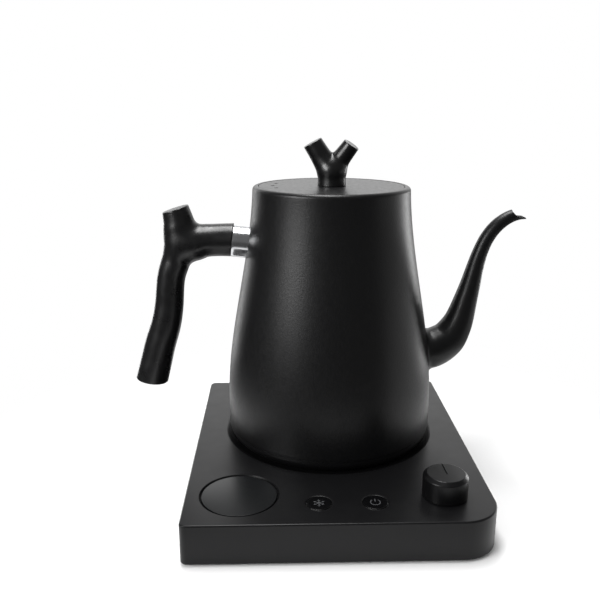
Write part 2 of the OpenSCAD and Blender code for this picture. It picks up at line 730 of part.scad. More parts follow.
module vessel_shell() {
    under = body_h - ledge_depth - shell_t;      // underside of the ledge
    inner = shell_side(shell_t, under - 1);
    color("#161617") in_kettle() difference() {
        rotate_extrude($fn = 128) polygon(concat(
            shell_side(0, body_h - rim_round),
            arc([rim_r - rim_round, body_h - rim_round], rim_round, rim_round, 0, 90, 5),
            [[ledge_r, body_h], [ledge_r, body_h - ledge_depth], [mouth_r, body_h - ledge_depth],
                [mouth_r, body_h - neck_h], [mouth_r + shell_t, body_h - neck_h], [mouth_r + shell_t, under]],
            [for (i = [len(inner) - 1:-1:0]) inner[i]]));
        // strainer behind the spout's root
        for (row = [-2:2], col = [-2:2]) let (y = 4.6 * (col + (row % 2) / 2), z = 4 * row)
            if (y * y + z * z < 100)
                translate([body_r - 12, y, spout_rise + z]) rotate([0, 90, 0])
                    cylinder(r = strainer_r, h = 20, $fn = 24);
    }
}

module heating_plate() {
    outer = body_r - shell_t - 0.05;
    color("#c3c5c7") in_kettle() difference() {
        rotate_extrude($fn = 96) polygon([[0, plate_rise], [outer - 2, plate_rise], [outer, plate_rise - 2],
            [outer, plate_rise - 10], [outer - plate_sheet, plate_rise - 10],
            [outer - plate_sheet, plate_rise - 2 - plate_sheet / 2], [outer - 2.4, plate_rise - plate_sheet],
            [0, plate_rise - plate_sheet]]);
        rotate(-90) translate([probe_ring_r, 0, 0]) cylinder(r = probe_r + 1.7, h = cut);
    }
}

module heat_spreader() {
    color("#a9acb0") in_kettle() translate([0, 0, spreader_low]) cylinder(r = spreader_r, h = spreader_t);
}

// A sheathed element bent to an open ring, flattened where it is brazed to the spreader
module heating_element() {
    flat = element_r * 0.8;
    color("#6f6a66") in_kettle() {
        translate([0, 0, spreader_low - flat]) rotate(90 + element_gap_angle / 2)
            rotate_extrude(angle = 360 - element_gap_angle, $fn = 96) translate([element_ring_r, 0])
                intersection() {
                    circle(r = element_r, $fn = 32);
                    translate([-cut / 2, -cut + flat]) square([cut, cut]);
                }
        for (s = [-1, 1]) rotate(90 + s * (element_gap_angle / 2 + 3))
            translate([element_ring_r, 0, spreader_low - flat - 7]) cylinder(r = 2.2, h = 5.5);
    }
}

module element_terminals() {
    color("#d6d8da") in_kettle() for (s = [-1, 1]) rotate(90 + s * (element_gap_angle / 2 + 3))
        translate([element_ring_r, 0, spreader_low - element_r * 0.8 - 13]) {
            translate([-0.4, -3, 0]) cube([0.8, 6, 6]);
        }
}

module control_block() {
    color("#2c2c2e") in_kettle() translate([0, 0, block_low]) difference() {
        union() {
            cylinder(r = block_r, h = block_top - block_low);
            for (a = [0, 180]) rotate(a) translate([block_r - 5, -4, 0])
                cube([ear_r + 4 - block_r + 5, 8, block_top - block_low]);
        }
        for (a = [0, 180]) rotate(a) translate([ear_r, 0, -eps]) cylinder(r = 1.7, h = cut);
    }
}

module control_screws() {
    color("#8c8c8e") in_kettle() spin(2, ear_r)
        translate([0, 0, block_low - 1.5]) screw(2.8, 1.5, 1.5, spreader_low - block_low);
}

module bimetal_discs() {
    color("#b08d57") in_kettle() for (s = [-1, 1])
        translate([s * 10.5, 0, block_top]) cylinder(r = 9, h = disc_t);
}

module temperature_probe() {
    color("#cfd1d3") in_kettle() rotate(-90) translate([probe_ring_r, 0, plate_rise - 7]) {
        cylinder(r = probe_r, h = 17);
        translate([0, 0, 17 - eps]) cylinder(r1 = probe_r, r2 = probe_r - 1, h = 1);
    }
}

module probe_grommet() {
    color("#8a2f25") in_kettle() rotate(-90) translate([probe_ring_r, 0, 0]) rotate_extrude($fn = 48) polygon([
        [probe_r + 0.02, plate_rise - 4], [probe_r + 3.4, plate_rise - 4], [probe_r + 3.4, plate_rise - 1.25],
        [probe_r + 1.6, plate_rise - 1.25], [probe_r + 1.6, plate_rise + 0.05],
        [probe_r + 3.2, plate_rise + 0.05], [probe_r + 2.2, plate_rise + 2], [probe_r + 0.02, plate_rise + 2]]);
}

module kettle_leads() {
    color("#7a2a22") in_kettle() for (route = kettle_lead_routes) lead(route, kettle_lead_r);
}

// Posts welded under the heating plate, which the bottom cover is screwed to
module cover_posts() {
    low = -cover_h + cover_t + 0.05;
    color("#a9acb0") in_kettle() spin(cover_posts_n, post_ring_r, post_start)
        translate([0, 0, low]) difference() {
            cylinder(r = post_r, h = plate_rise - plate_sheet - low);
            translate([0, 0, -eps]) cylinder(r = 1.45, h = 9);
        }
}

module cover_screws() {
    color("#8c8c8e") in_kettle() spin(cover_posts_n, post_ring_r, post_start)
        translate([0, 0, -cover_h + 0.1]) screw(2.7, 1.1, 1.35, 8);
}

module bottom_cover() {
    low = -cover_h;
    raised = socket_low;                 // underside of the raised middle
    lip = body_r - 0.6;                  // outer edge under the seam
    curve = lip - foot_ring_r;
    ring_in = dome_r + dome_gap + 2.3;
    collar = socket_r + turn_gap;
    upstand_r = body_r - shell_t - 1.1;
    color("#18181a") in_kettle() difference() {
        rotate_extrude($fn = 128) polygon(concat(
            arc([foot_ring_r, -gasket_t], curve, -(cover_h - gasket_t), 0, 90, 8),
            [[ring_in, low], [ring_in - 1, raised], [collar, raised], [collar, shoulder_low - 0.2],
                [collar + 2, shoulder_low - 0.2], [collar + 2, raised + cover_t], [ring_in, raised + cover_t],
                [ring_in + 1.4, low + cover_t]],
            [[foot_ring_r - 1, low + cover_t], [upstand_r - 2, -gasket_t - 1.5], [upstand_r - 2, upstand_h],
                [upstand_r, upstand_h], [upstand_r, -gasket_t]]));
        translate([0, 0, low]) spin(cover_posts_n, post_ring_r, post_start) {
            translate([0, 0, -1]) cylinder(r = 1.7, h = 9);
            translate([0, 0, -1]) cylinder(r = 3, h = 1 + 1.2);
        }
        // drain slots
        for (i = [0:11]) rotate(30 * i) translate([(collar + ring_in) / 2 - 3.7, -1, low]) cube([9, 2, 8]);
    }
}

module seam_gasket() {
    color("#0b0b0b") in_kettle() translate([0, 0, -gasket_t])
        tube(body_r - 0.9, body_r - shell_t - 1.1 + 0.15, gasket_t);
}

// ---------- spout ----------

spout_path = [for (p = smooth_path(spout_line, spout_steps)) [p[0], p[1] + spout_rise, p[2]]];

function spout_heading(i) =
    let (last = len(spout_path) - 1, a = spout_path[max(i - 1, 0)], b = spout_path[min(i + 1, last)])
    atan2(b[1] - a[1], b[0] - a[0]);

// The points of one ring of the spout, square to its path
function spout_ring(i, thinner) =
    let (p = spout_path[i], h = spout_heading(i), r = p[2] - thinner)
    [for (k = [0:spout_sides - 1]) let (a = 360 * k / spout_sides)
        [p[0] - r * cos(a) * sin(h), r * sin(a), p[1] + r * cos(a) * cos(h)]];

module spout_tube() {
    n = spout_sides;
    rings = len(spout_path);
    outer = [for (i = [0:rings - 1]) each spout_ring(i, 0)];
    inner = [for (i = [0:rings - 1]) each spout_ring(i, spout_t)];
    base = rings * n;
    polyhedron(points = concat(outer, inner), faces = concat(
        [for (i = [0:rings - 2], k = [0:n - 1]) [i * n + k, i * n + (k + 1) % n,
            (i + 1) * n + (k + 1) % n, (i + 1) * n + k]],
        [for (i = [0:rings - 2], k = [0:n - 1]) [base + i * n + k, base + (i + 1) * n + k,
            base + (i + 1) * n + (k + 1) % n, base + i * n + (k + 1) % n]],
        [for (k = [0:n - 1]) [k, base + k, base + (k + 1) % n, (k + 1) % n]],
        [for (k = [0:n - 1]) let (e = (rings - 1) * n) [e + k, e + (k + 1) % n,
            base + e + (k + 1) % n, base + e + k]]), convexity = 6);
}

module spout() {
    color("#161617") in_kettle() difference() {
        spout_tube();
        vessel_solid();
        // the tip is opened from above, which leaves a pouring lip below
        translate([0, 10, spout_rise]) rotate([90, 0, 0]) linear_extrude(20)
            polygon(concat(mouth_rim, [[150, 80], [150, 120], [mouth_rim[0][0], 120]]));
    }
}

// ---------- handle ----------

// The handle's fixings lie along the ferrule's axis, square to the wall
module on_ferrule_axis() {
    translate([-vessel_r(ferrule_rise), 0, ferrule_rise]) rotate([0, -90 + ferrule_tilt, 0]) children();
}

module handle_stud() {
    color("#b9bcc0") in_kettle() difference() {
        on_ferrule_axis() translate([0, 0, -3]) union() {
            cylinder(r = ferrule_r - 1.6, h = 6);
            cylinder(r = stud_r, h = stud_len + 3);
        }
        vessel_solid();
    }
}

module handle_ferrule() {
    color("#d9dadc") in_kettle() difference() {
        on_ferrule_axis() translate([0, 0, -6]) tube(ferrule_r, ferrule_r - 1.4, ferrule_len + 6);
        vessel_solid();
    }
}

module handle_insert() {
    color("#c9a04a") in_kettle() on_ferrule_axis() translate([0, 0, ferrule_len + 2])
        tube(insert_r, stud_r + 0.1, insert_len);
}

module handle_grip() {
    color("#121213") in_kettle() difference() {
        union() {
            limb(grip_trunk);
            limb(grip_arm);
        }
        // flat ends: the trunk's foot and head, and the arm against the ferrule
        translate(grip_foot) rotate([0, grip_foot_lean, 0]) translate([-20, -20, -40]) cube([40, 40, 40]);
        translate(grip_head) rotate([0, grip_head_lean, 0]) translate([-20, -20, 0]) cube([40, 40, 40]);
        on_ferrule_axis() {
            translate([-20, -20, ferrule_len - 40]) cube([40, 40, 40]);
            translate([0, 0, ferrule_len - 1]) cylinder(r = insert_r + 0.1, h = insert_len + 3.1, $fn = 32);
            cylinder(r = stud_r + 0.3, h = stud_len + 1, $fn = 24);
        }
    }
}

// ---------- lid ----------

module lid_disc() {
    color("#161617") in_kettle() difference() {
        union() {
            translate([0, 0, lid_low]) cylinder(r = lid_r, h = lid_t - 0.3, $fn = 96);
            translate([0, 0, lid_top - 0.3 - eps])
                cylinder(r1 = lid_r, r2 = lid_r - 0.3, h = 0.3 + eps, $fn = 96);
        }
        cylinder(r = lid_screw_r + 0.1, h = cut);
        for (a = [160, 180, 200]) rotate(a) translate([lid_r - 9, 0, 0]) cylinder(r = 1.3, h = cut);
    }
}

module lid_liner() {
    color("#c3c5c7") in_kettle() difference() {
        translate([0, 0, lid_low - liner_h]) cylinder(r = liner_r, h = liner_h, $fn = 96);
        translate([0, 0, lid_low - liner_h + 0.8]) cylinder(r = liner_r - 0.8, h = liner_h, $fn = 96);
        for (a = [160, 180, 200]) rotate(a) translate([lid_r - 9, 0, 0]) cylinder(r = 1.3, h = cut);
    }
}

module lid_seal() {
    fin = mouth_r - 0.25;
    color("#3a3a3a") in_kettle() translate([0, 0, lid_low - 9]) rotate_extrude($fn = 96) polygon([
        [liner_r + 0.02, 0], [liner_r + 0.8, 0], [liner_r + 0.9, 1], [fin, 1.8], [liner_r + 0.9, 2.4],
        [liner_r + 0.9, 3.6], [fin, 4.4], [liner_r + 0.9, 5], [liner_r + 0.8, 6], [liner_r + 0.02, 6]]);
}

module lid_knob() {
    color("#121213") in_kettle() translate([0, 0, lid_top]) difference() {
        union() {
            limb(knob_stem, 28);
            limb(knob_left, 28);
            limb(knob_right, 28);
        }
        translate([-20, -20, -40]) cube([40, 40, 40]);
        translate(knob_left_cut) rotate([0, knob_left_lean, 0])
            translate([-15, -15, 0]) cube([30, 30, 20]);
        translate(knob_right_cut) rotate([knob_right_nod, knob_right_lean, 0])
            translate([-15, -15, 0]) cube([30, 30, 20]);
        translate([0, 0, -eps]) cylinder(r = lid_screw_r + 0.05, h = 12, $fn = 24);
    }
}

module lid_knob_screw() {
    color("#b9bcc0") in_kettle() translate([0, 0, lid_low - 2.2]) screw(4, 2.2, lid_screw_r, 12);
}

base_shell();
bottom_plate();
base_feet();
case_screws();
cord_gland();
centre_dome();
dome_screws();
connector_housing();
connector_contacts();
earth_spring();
connector_screws();
connector_leads();
display_window();
display_module();
control_board();
board_screws();
encoder_housing();
encoder_nut();
tact_switches();
power_board();
power_board_screws();
relay();
transformer();
capacitors();
terminal_block();
ribbon_cable();
dial_knob();
dial_shaft();
button_cap(power_x);  // power_button
button_stem(power_x);  // power_plunger
button_cap(hold_x);  // hold_button
button_stem(hold_x);  // hold_plunger
socket_housing();
socket_contacts();
vessel_shell();
heating_plate();
heat_spreader();
heating_element();
element_terminals();
control_block();
control_screws();
bimetal_discs();
temperature_probe();
probe_grommet();
kettle_leads();
cover_posts();
cover_screws();
bottom_cover();
seam_gasket();
spout();
handle_stud();
handle_ferrule();
handle_insert();
handle_grip();
lid_disc();
lid_liner();
lid_seal();
lid_knob();
lid_knob_screw();
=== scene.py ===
import itertools
import json
import math

import bmesh
import bpy
import numpy as np
from mathutils import Matrix, Vector


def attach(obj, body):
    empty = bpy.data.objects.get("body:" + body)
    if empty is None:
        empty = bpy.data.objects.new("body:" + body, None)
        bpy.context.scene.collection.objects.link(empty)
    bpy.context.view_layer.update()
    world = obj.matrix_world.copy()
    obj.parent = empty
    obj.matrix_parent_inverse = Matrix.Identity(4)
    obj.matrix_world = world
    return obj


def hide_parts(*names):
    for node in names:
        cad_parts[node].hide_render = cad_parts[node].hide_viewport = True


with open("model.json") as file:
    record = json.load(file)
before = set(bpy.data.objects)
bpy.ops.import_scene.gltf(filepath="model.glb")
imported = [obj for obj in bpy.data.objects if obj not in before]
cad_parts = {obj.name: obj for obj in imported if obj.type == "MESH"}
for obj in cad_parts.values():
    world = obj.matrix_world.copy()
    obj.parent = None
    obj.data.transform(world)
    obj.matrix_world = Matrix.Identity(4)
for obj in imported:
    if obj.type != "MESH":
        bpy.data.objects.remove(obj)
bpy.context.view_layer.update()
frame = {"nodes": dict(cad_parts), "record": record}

# Lengths are in mm, and a mesh is scaled to metres when it is made
MM = 0.001

# The power base: heights are over the table
HALF_WIDTH, HALF_DEPTH = 88.75, 102
CORNER, WIDE_CORNER = 4, 22
TOP, WELL_FLOOR = 25.5, 23.0
WINDOW_AT, DIAL_AT = (-57.55, -70.5), (60.75, -74)
HOLD_AT, POWER_AT = (-12.1, -80.5), (19.9, -80.5)

# The kettle: heights are over the seam between its body and its bottom cover
AXIS_Y = 22
AXIS = (0, AXIS_Y)
SEAM = 32.2                     # the seam's height over the table
SEATED = (0, AXIS_Y, SEAM)      # where the kettle's own origin lies
BODY_R, BODY_H = 68.4, 160
STRAIGHT = 18                   # up to here the body is straight
NARROWING, TAPER = 18.0, 149    # what the curve over it takes off the radius, and in what height
LID_TOP = 159.9
SPOUT_ROOT = 49.6


# ---------- shapes ----------

def ease(t):
    """A share from 0 to 1 that starts and ends gently."""
    t = min(max(t, 0), 1)
    return t * t * (3 - 2 * t)


def body_radius(z):
    """Outer radius of the kettle's body at a height over the seam. Its curve would end a little
    over the rim."""
    return BODY_R - NARROWING * ease((z - STRAIGHT) / TAPER)


def angles(step, first, stop):
    """Angles at whole steps of so many degrees."""
    return [math.radians(step * k) for k in range(first, stop)]


def curve_at(stations, u):
    """A smooth curve through the stations; u counts stations."""
    last = len(stations) - 1
    i = min(int(u), last - 1)
    t = u - i
    a, b, c, d = (np.array(stations[min(max(j, 0), last)], float) for j in range(i - 1, i + 3))
    return 0.5 * (2 * b + (c - a) * t + (2 * a - 5 * b + 4 * c - d) * t * t
                  + (3 * b - a - 3 * c + d) * t ** 3)


def swung(start, corner, end, t):
    """A point on the curve from start to end that swings past a corner."""
    return start * (1 - t) ** 2 + corner * 2 * t * (1 - t) + end * t * t


def rounded(points, closed=False, steps=6):
    """A path with its corners rounded; a point is (x, y) or (x, y, radius)."""
    out = []
    for i, p in enumerate(points):
        r = p[2] if len(p) > 2 else 0
        b = Vector(p[:2])
        if r <= 0 or (not closed and i in (0, len(points) - 1)):
            out.append(tuple(b))
            continue
        u = (Vector(points[i - 1][:2]) - b).normalized()
        v = (Vector(points[(i + 1) % len(points)][:2]) - b).normalized()
        half = u.angle(v) / 2
        centre = b + (u + v).normalized() * (r / math.sin(half))
        first = b + u * (r / math.tan(half)) - centre
        turn = math.pi - 2 * half
        if first.x * v.y - first.y * v.x < 0:
            turn = -turn
        for k in range(steps + 1):
            a = turn * k / steps
            out.append((centre.x + first.x * math.cos(a) - first.y * math.sin(a),
                        centre.y + first.x * math.sin(a) + first.y * math.cos(a)))
    return out


def made(name, bm, mats, sharp=35):
    """A new object, in metres, from a bmesh in mm."""
    bmesh.ops.recalc_face_normals(bm, faces=bm.faces)
    bmesh.ops.scale(bm, vec=(MM, MM, MM), verts=bm.verts)
    mesh = bpy.data.meshes.new(name)
    bm.to_mesh(mesh)
    bm.free()
    for mat in mats if isinstance(mats, (list, tuple)) else [mats]:
        mesh.materials.append(mat)
    shade(mesh, sharp)
    obj = bpy.data.objects.new(name, mesh)
    bpy.context.scene.collection.objects.link(obj)
    return obj


def shade(mesh, sharp=35):
    """Smooth shading, with edges sharp from an angle in degrees."""
    mesh.polygons.foreach_set("use_smooth", [True] * len(mesh.polygons))
    mesh.set_sharp_from_angle(angle=math.radians(sharp))


def bake(obj, sharp=35):
    """Turns the object's modifiers into its mesh."""
    view = obj.evaluated_get(bpy.context.evaluated_depsgraph_get())
    mesh = bpy.data.meshes.new_from_object(view)
    obj.modifiers.clear()
    obj.data = mesh
    shade(mesh, sharp)


def cut(obj, *cutters, sharp=35):
    """Takes each cutter away from the object, and then removes the cutter."""
    for cutter in cutters:
        boolean = obj.modifiers.new("cut", "BOOLEAN")
        boolean.object, boolean.operation, boolean.solver = cutter, "DIFFERENCE", "EXACT"
        bpy.context.view_layer.update()
        bake(obj, sharp)
        bpy.data.objects.remove(cutter)


def flatten(obj):
    """Large flat faces keep flat shading beside their rounded edges."""
    even = obj.modifiers.new("even shading", "WEIGHTED_NORMAL")
    even.keep_sharp, even.weight, even.mode = True, 100, "FACE_AREA"


def band(bm, a, b):
    """Quads between two rings of vertices."""
    for k in range(len(a)):
        n = (k + 1) % len(a)
        bm.faces.new((a[k], a[n], b[n], b[k]))


def lathe(name, profile, mats, segments=128, at=(0, 0, 0), loop=False, zone=None, sharp=35):
    """A profile of (radius, z) turned about an upright axis. zone gives a band's material."""
    bm = bmesh.new()
    turns = [2 * math.pi * k / segments for k in range(segments)]
    rings = []
    for r, z in profile:
        if r < 1e-6:
            rings.append([bm.verts.new((at[0], at[1], at[2] + z))])
        else:
            rings.append([bm.verts.new((at[0] + r * math.cos(a), at[1] + r * math.sin(a),
                                        at[2] + z)) for a in turns])
    for i, (a, b) in enumerate(zip(rings, rings[1:] + (rings[:1] if loop else []))):
        if len(a) == 1 and len(b) == 1:
            continue
        for k in range(segments):
            n = (k + 1) % segments
            if len(a) == 1:
                corners = (a[0], b[n], b[k])
            elif len(b) == 1:
                corners = (a[k], a[n], b[0])
            else:
                corners = (a[k], a[n], b[n], b[k])
            face = bm.faces.new(corners)
            if zone:
                face.material_index = zone(i)
    return made(name, bm, mats, sharp)


def stack(name, outlines, mats, sharp=35):
    """A closed solid through outlines of equal length: each is (list of (x, y), z)."""
    bm = bmesh.new()
    rings = [[bm.verts.new((x, y, z)) for x, y in line] for line, z in outlines]
    for a, b in zip(rings, rings[1:]):
        band(bm, a, b)
    bm.faces.new(rings[0])
    bm.faces.new(rings[-1])
    return made(name, bm, mats, sharp)


def collar(name, lines, mat, sharp):
    """A ring-shaped solid of closed lines, each joined to the next, on the seated kettle."""
    bm = bmesh.new()
    loops = [[bm.verts.new(p + Vector(SEATED)) for p in line] for line in lines]
    for a, b in zip(loops, loops[1:] + loops[:1]):
        band(bm, a, b)
    return made(name, bm, mat, sharp)


def block(name, lo, hi, turn=0, about=(0, 0), bevel=0):
    """A cutter: a box, turned about an upright line."""
    bm = bmesh.new()
    bmesh.ops.create_cube(bm, size=1)
    for v in bm.verts:
        v.co = [lo[i] + (v.co[i] + 0.5) * (hi[i] - lo[i]) for i in range(3)]
    if bevel:
        bmesh.ops.bevel(bm, geom=bm.edges[:], offset=bevel, segments=3, affect="EDGES",
                        profile=0.5)
    bmesh.ops.rotate(bm, verts=bm.verts, cent=(about[0], about[1], 0),
                     matrix=Matrix.Rotation(math.radians(turn), 3, "Z"))
    return made(name, bm, [])


def rod(name, r, low, high, at=(0, 0), segments=96):
    """A cutter: an upright cylinder."""
    profile = [(0, low), (r, low), (r, high), (0, high)]
    return lathe(name, profile, [], segments, (at[0], at[1], 0))


def laid(cutter, place, axis):
    """Lays an upright cutter down about an axis, and moves it to a place."""
    shift = Matrix.Translation([c * MM for c in place])
    cutter.data.transform(shift @ Matrix.Rotation(math.pi / 2, 4, axis))
    return cutter


def dressed(obj, body, slot, *nodes):
    """The piece moves with a body and stands for these CAD nodes, which are hidden. The slot is
    not used.
    """
    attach(obj, body)
    if nodes:
        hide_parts(*nodes)


# ---------- materials ----------

FINISHES = {}


def linear(code):
    """A linear colour from an sRGB code such as #1a1a1a."""
    parts = [int(code[i:i + 2], 16) / 255 for i in (1, 3, 5)]
    return [c / 12.92 if c <= 0.04045 else ((c + 0.055) / 1.055) ** 2.4 for c in parts] + [1]


def node(tree, kind, settings=None, links=None):
    """Adds a node. Settings are properties, or values of inputs by name or number; links are
    input: (node, output)."""
    added = tree.nodes.new(kind)
    for key, value in (settings or {}).items():
        if isinstance(key, int) or key in added.inputs.keys():
            added.inputs[key].default_value = value
        else:
            setattr(added, key, value)
    for key, (source, output) in (links or {}).items():
        tree.links.new(source.outputs[output], added.inputs[key])
    return added


def finish(name, colour, rough, metal=0.0, spec=0.5, grain=None, cloud=None, stretch=(1, 1, 1)):
    """A finish: grain is (size mm, depth mm) of its relief, cloud is (size mm, change) of its
    gloss."""
    mat = bpy.data.materials.new(name)
    mat.use_nodes = True
    tree = mat.node_tree
    shader = tree.nodes["Principled BSDF"]
    for key, value in {"Base Color": linear(colour), "Roughness": rough, "Metallic": metal,
                       "Specular IOR Level": spec}.items():
        shader.inputs[key].default_value = value
    place = node(tree, "ShaderNodeTexCoord")
    at = node(tree, "ShaderNodeMapping", {"Scale": stretch}, {"Vector": (place, "Object")})
    if cloud:
        size, change = cloud
        tone = node(tree, "ShaderNodeTexNoise", {"Scale": 1 / (size * MM), "Detail": 3.0},
                    {"Vector": (at, "Vector")})
        gloss = node(tree, "ShaderNodeMapRange",
                     {"From Min": 0.3, "From Max": 0.7, "To Min": rough - change,
                      "To Max": rough + change}, {"Value": (tone, "Fac")})
        tree.links.new(gloss.outputs["Result"], shader.inputs["Roughness"])
    if grain:
        size, depth = grain
        relief = node(tree, "ShaderNodeTexNoise",
                      {"Scale": 1 / (size * MM), "Detail": 2.0, "Roughness": 0.6},
                      {"Vector": (at, "Vector")})
        bump = node(tree, "ShaderNodeBump", {"Distance": depth * MM, "Strength": 1.0},
                    {"Height": (relief, "Fac")})
        tree.links.new(bump.outputs["Normal"], shader.inputs["Normal"])
    FINISHES[name] = mat
    return mat


# Powder coat: soft broad highlights broken up by a sandy grain, drawn as coarse as it needs to
# be to show
POWDER = finish("powder_coat", "#0a0a0b", 0.37, spec=0.36, grain=(1.1, 0.05), cloud=(2.5, 0.03))
# Spark-textured case plastic: satin black that greys towards grazing light
CASE = finish("case_plastic", "#0f0f10", 0.34, spec=0.22, grain=(0.35, 0.006), cloud=(9, 0.025))
# Moulded branch: soft gloss with faint waves, so its facets catch long highlights
GRIP = finish("grip_plastic", "#0b0b0c", 0.31, grain=(2.4, 0.03), cloud=(6, 0.05))
# Connector nylon: dull black, so only the rims of its rings show
CONNECTOR = finish("connector_plastic", "#090909", 0.4, spec=0.3, grain=(0.25, 0.004),
                   cloud=(3, 0.05))
# Gloss caps: darker and shinier than the case round them
BUTTON = finish("button_plastic", "#070708", 0.28, spec=0.16, cloud=(6, 0.03))
# Printed marks: flat grey ink
INK = finish("grey_ink", "#47484a", 0.5, spec=0.3, grain=(0.2, 0.002))
# Turned dial: satin black whose bevel shows a bright line
DIAL = finish("dial_plastic", "#0a0a0b", 0.32, spec=0.26, grain=(0.25, 0.003), cloud=(5, 0.03))
# Smoked window: the even gloss of dark clear plastic
WINDOW = finish("window_plastic", "#121314", 0.3, spec=0.24, cloud=(14, 0.006))
# Polished steel with faint turning marks, for its light and dark bands. Real ones are too fine
# to show, so they are drawn coarser
POLISHED = finish("polished_steel", "#d3d4d6", 0.17, metal=1.0, grain=(0.5, 0.002),
                  cloud=(0.7, 0.05), stretch=(1, 0.06, 0.06))
# Drawn stainless steel inside the kettle: rings of brush marks, coarser than real ones so that
# they show
INNER = finish("inner_steel", "#b4b5b7", 0.3, metal=1.0, grain=(0.5, 0.003), cloud=(1.2, 0.07),
               stretch=(0.05, 0.05, 1))

# Only on the solids that have no piece of their own:
# moulded bottom cover, a little glossier than the coat above it
finish("cover_plastic", "#0d0d0e", 0.3, grain=(0.6, 0.004), cloud=(12, 0.03))
# plain sheet steel, dull with a mill finish
finish("plain_steel", "#b0b2b4", 0.34, metal=1.0, grain=(0.4, 0.002), cloud=(4, 0.06))
# zinc-plated screws, slightly cool and uneven
finish("screw_steel", "#a3a6aa", 0.3, metal=1.0, cloud=(1.5, 0.08))
# cast aluminium, pale and matte
finish("aluminium", "#b9bbbd", 0.42, metal=1.0, grain=(0.7, 0.005), cloud=(3, 0.06))
# earth spring: steel drawn dark, as painted shade in the connector's notch, so that no glint shows
# there
finish("spring_steel", "#303134", 0.45, metal=1.0, cloud=(1.5, 0.05))
# warm brass strips
finish("brass", "#b08d4a", 0.3, metal=1.0, cloud=(2, 0.08))
# dull black rubber
finish("rubber_foot", "#1a1a1a", 0.75, spec=0.3, grain=(0.5, 0.02))
# soft black silicone seal
finish("silicone", "#101011", 0.6, spec=0.4, grain=(0.4, 0.006))
# red-brown silicone sleeve of the leads
finish("wire", "#7c2b22", 0.4, grain=(0.5, 0.005))
# blue moulded relay case
finish("relay_plastic", "#2b5f9c", 0.35, grain=(0.3, 0.003))
# yellow tape round the coil
finish("coil", "#b8923f", 0.45, grain=(0.6, 0.01))
# dark shrunk sleeve of the capacitors
finish("capacitor_plastic", "#3a3026", 0.35, cloud=(3, 0.04))
# cream nylon
finish("terminal_plastic", "#cfcabc", 0.45, grain=(0.4, 0.003))


def circuit_board():
    """Green lacquer over copper tracks: a grid of slightly lighter lines."""
    tree = finish("board", "#1c5637", 0.35).node_tree
    place = node(tree, "ShaderNodeTexCoord")
    tracks = node(tree, "ShaderNodeTexBrick",
                  {"Scale": 1 / (8 * MM), "Color1": linear("#174a2f"), "Color2": linear("#1f6140"),
                   "Mortar": linear("#2f7a52"), "Mortar Size": 0.05},
                  {"Vector": (place, "Object")})
    base_colour = tree.nodes["Principled BSDF"].inputs["Base Color"]
    tree.links.new(tracks.outputs["Color"], base_colour)


circuit_board()
slots = {p["node"]: p["material_slot"] for p in frame["record"]["subparts"]}
# the earth spring gets the dark steel: painted shade in the connector's notch
slots["earth_spring"] = "spring_steel"
for name, obj in frame["nodes"].items():
    obj.data.materials.clear()
    obj.data.materials.append(FINISHES[slots[name]])


# ---------- base ----------

def case_outline(inset):
    """The case's outline from above, drawn in by an inset."""
    x, y = HALF_WIDTH - inset, HALF_DEPTH - inset
    r = CORNER - inset
    return rounded([(-x, -y, r), (x, -y, WIDE_CORNER - inset), (x, y, r), (-x, y, r)], True, 16)


def well_profile():
    """The space over the well: flat floor, hollow edge, and a soft bend into the case's top."""
    foot, wide, deep = 59.6, 9.7, TOP - WELL_FLOOR
    slope = angles(6, 0, 12)
    profile = [(0, WELL_FLOOR)]
    profile += [(foot + wide * math.sin(a), TOP - deep * math.cos(a)) for a in slope]
    start, end = Vector(profile[-1]), Vector((71, TOP + 0.02))
    corner = Vector((start.x + (TOP - start.y) * wide / (deep * math.tan(slope[-1])), TOP))
    profile += [tuple(swung(start, corner, end, k / 8)) for k in range(1, 9)]
    return profile + [(71.2, TOP + 1), (0, TOP + 1)]


def seat(name, low, r, fillet, rim, at, steps, segments):
    """A cutter: a round hole down to a height, with a rounded edge at the case's top."""
    profile = rounded([(0, low), (r, low), (r, TOP, fillet), (rim, TOP), (rim, TOP + 2),
                       (0, TOP + 2)], steps=steps)
    return lathe(name, profile, [], segments, (*at, 0))


def make_case():
    """The hollow case, with its well and the holes of the controls and the cord's bush."""
    edge, wall = 1.0, 2.4
    levels = [(0.7, 1.5), (0.3, 1.65), (0.08, 1.95), (0, 2.4)]      # inset, height
    levels += [(edge - edge * math.cos(a), TOP - edge + edge * math.sin(a))
               for a in angles(15, 0, 6)]
    levels += [(edge - 0.02, TOP)]
    case = stack("case", [(case_outline(inset), z) for inset, z in levels], CASE)
    inside = stack("inside", [(case_outline(wall), z) for z in (1, 22.9)], [])
    cut(inside, rod("under_well", 70.8, 20.4, 40, AXIS, 128))
    cut(case, inside)
    cut(case, lathe("well", well_profile(), [], 192, (*AXIS, 0)),
        rod("middle", 43.7, 0, 40, AXIS, 192))
    cut(case, seat("window_seat", TOP - 2, 21.95, 0.7, 23.2, WINDOW_AT, 4, 128),
        rod("window_hole", 18.7, 0, 40, WINDOW_AT))
    for at in (HOLD_AT, POWER_AT):
        cut(case, seat("button_hole", 10, 7.4, 0.25, 8.5, at, 3, 96))
    cut(case, rod("dial_hole", 3.7, 10, 40, DIAL_AT, 48))
    cut(case, laid(rod("gland_hole", 6.1, -5, 5, segments=48), (48, HALF_DEPTH, 12.5), "X"))
    flatten(case)
    dressed(case, "base", "case_plastic", "base_shell")


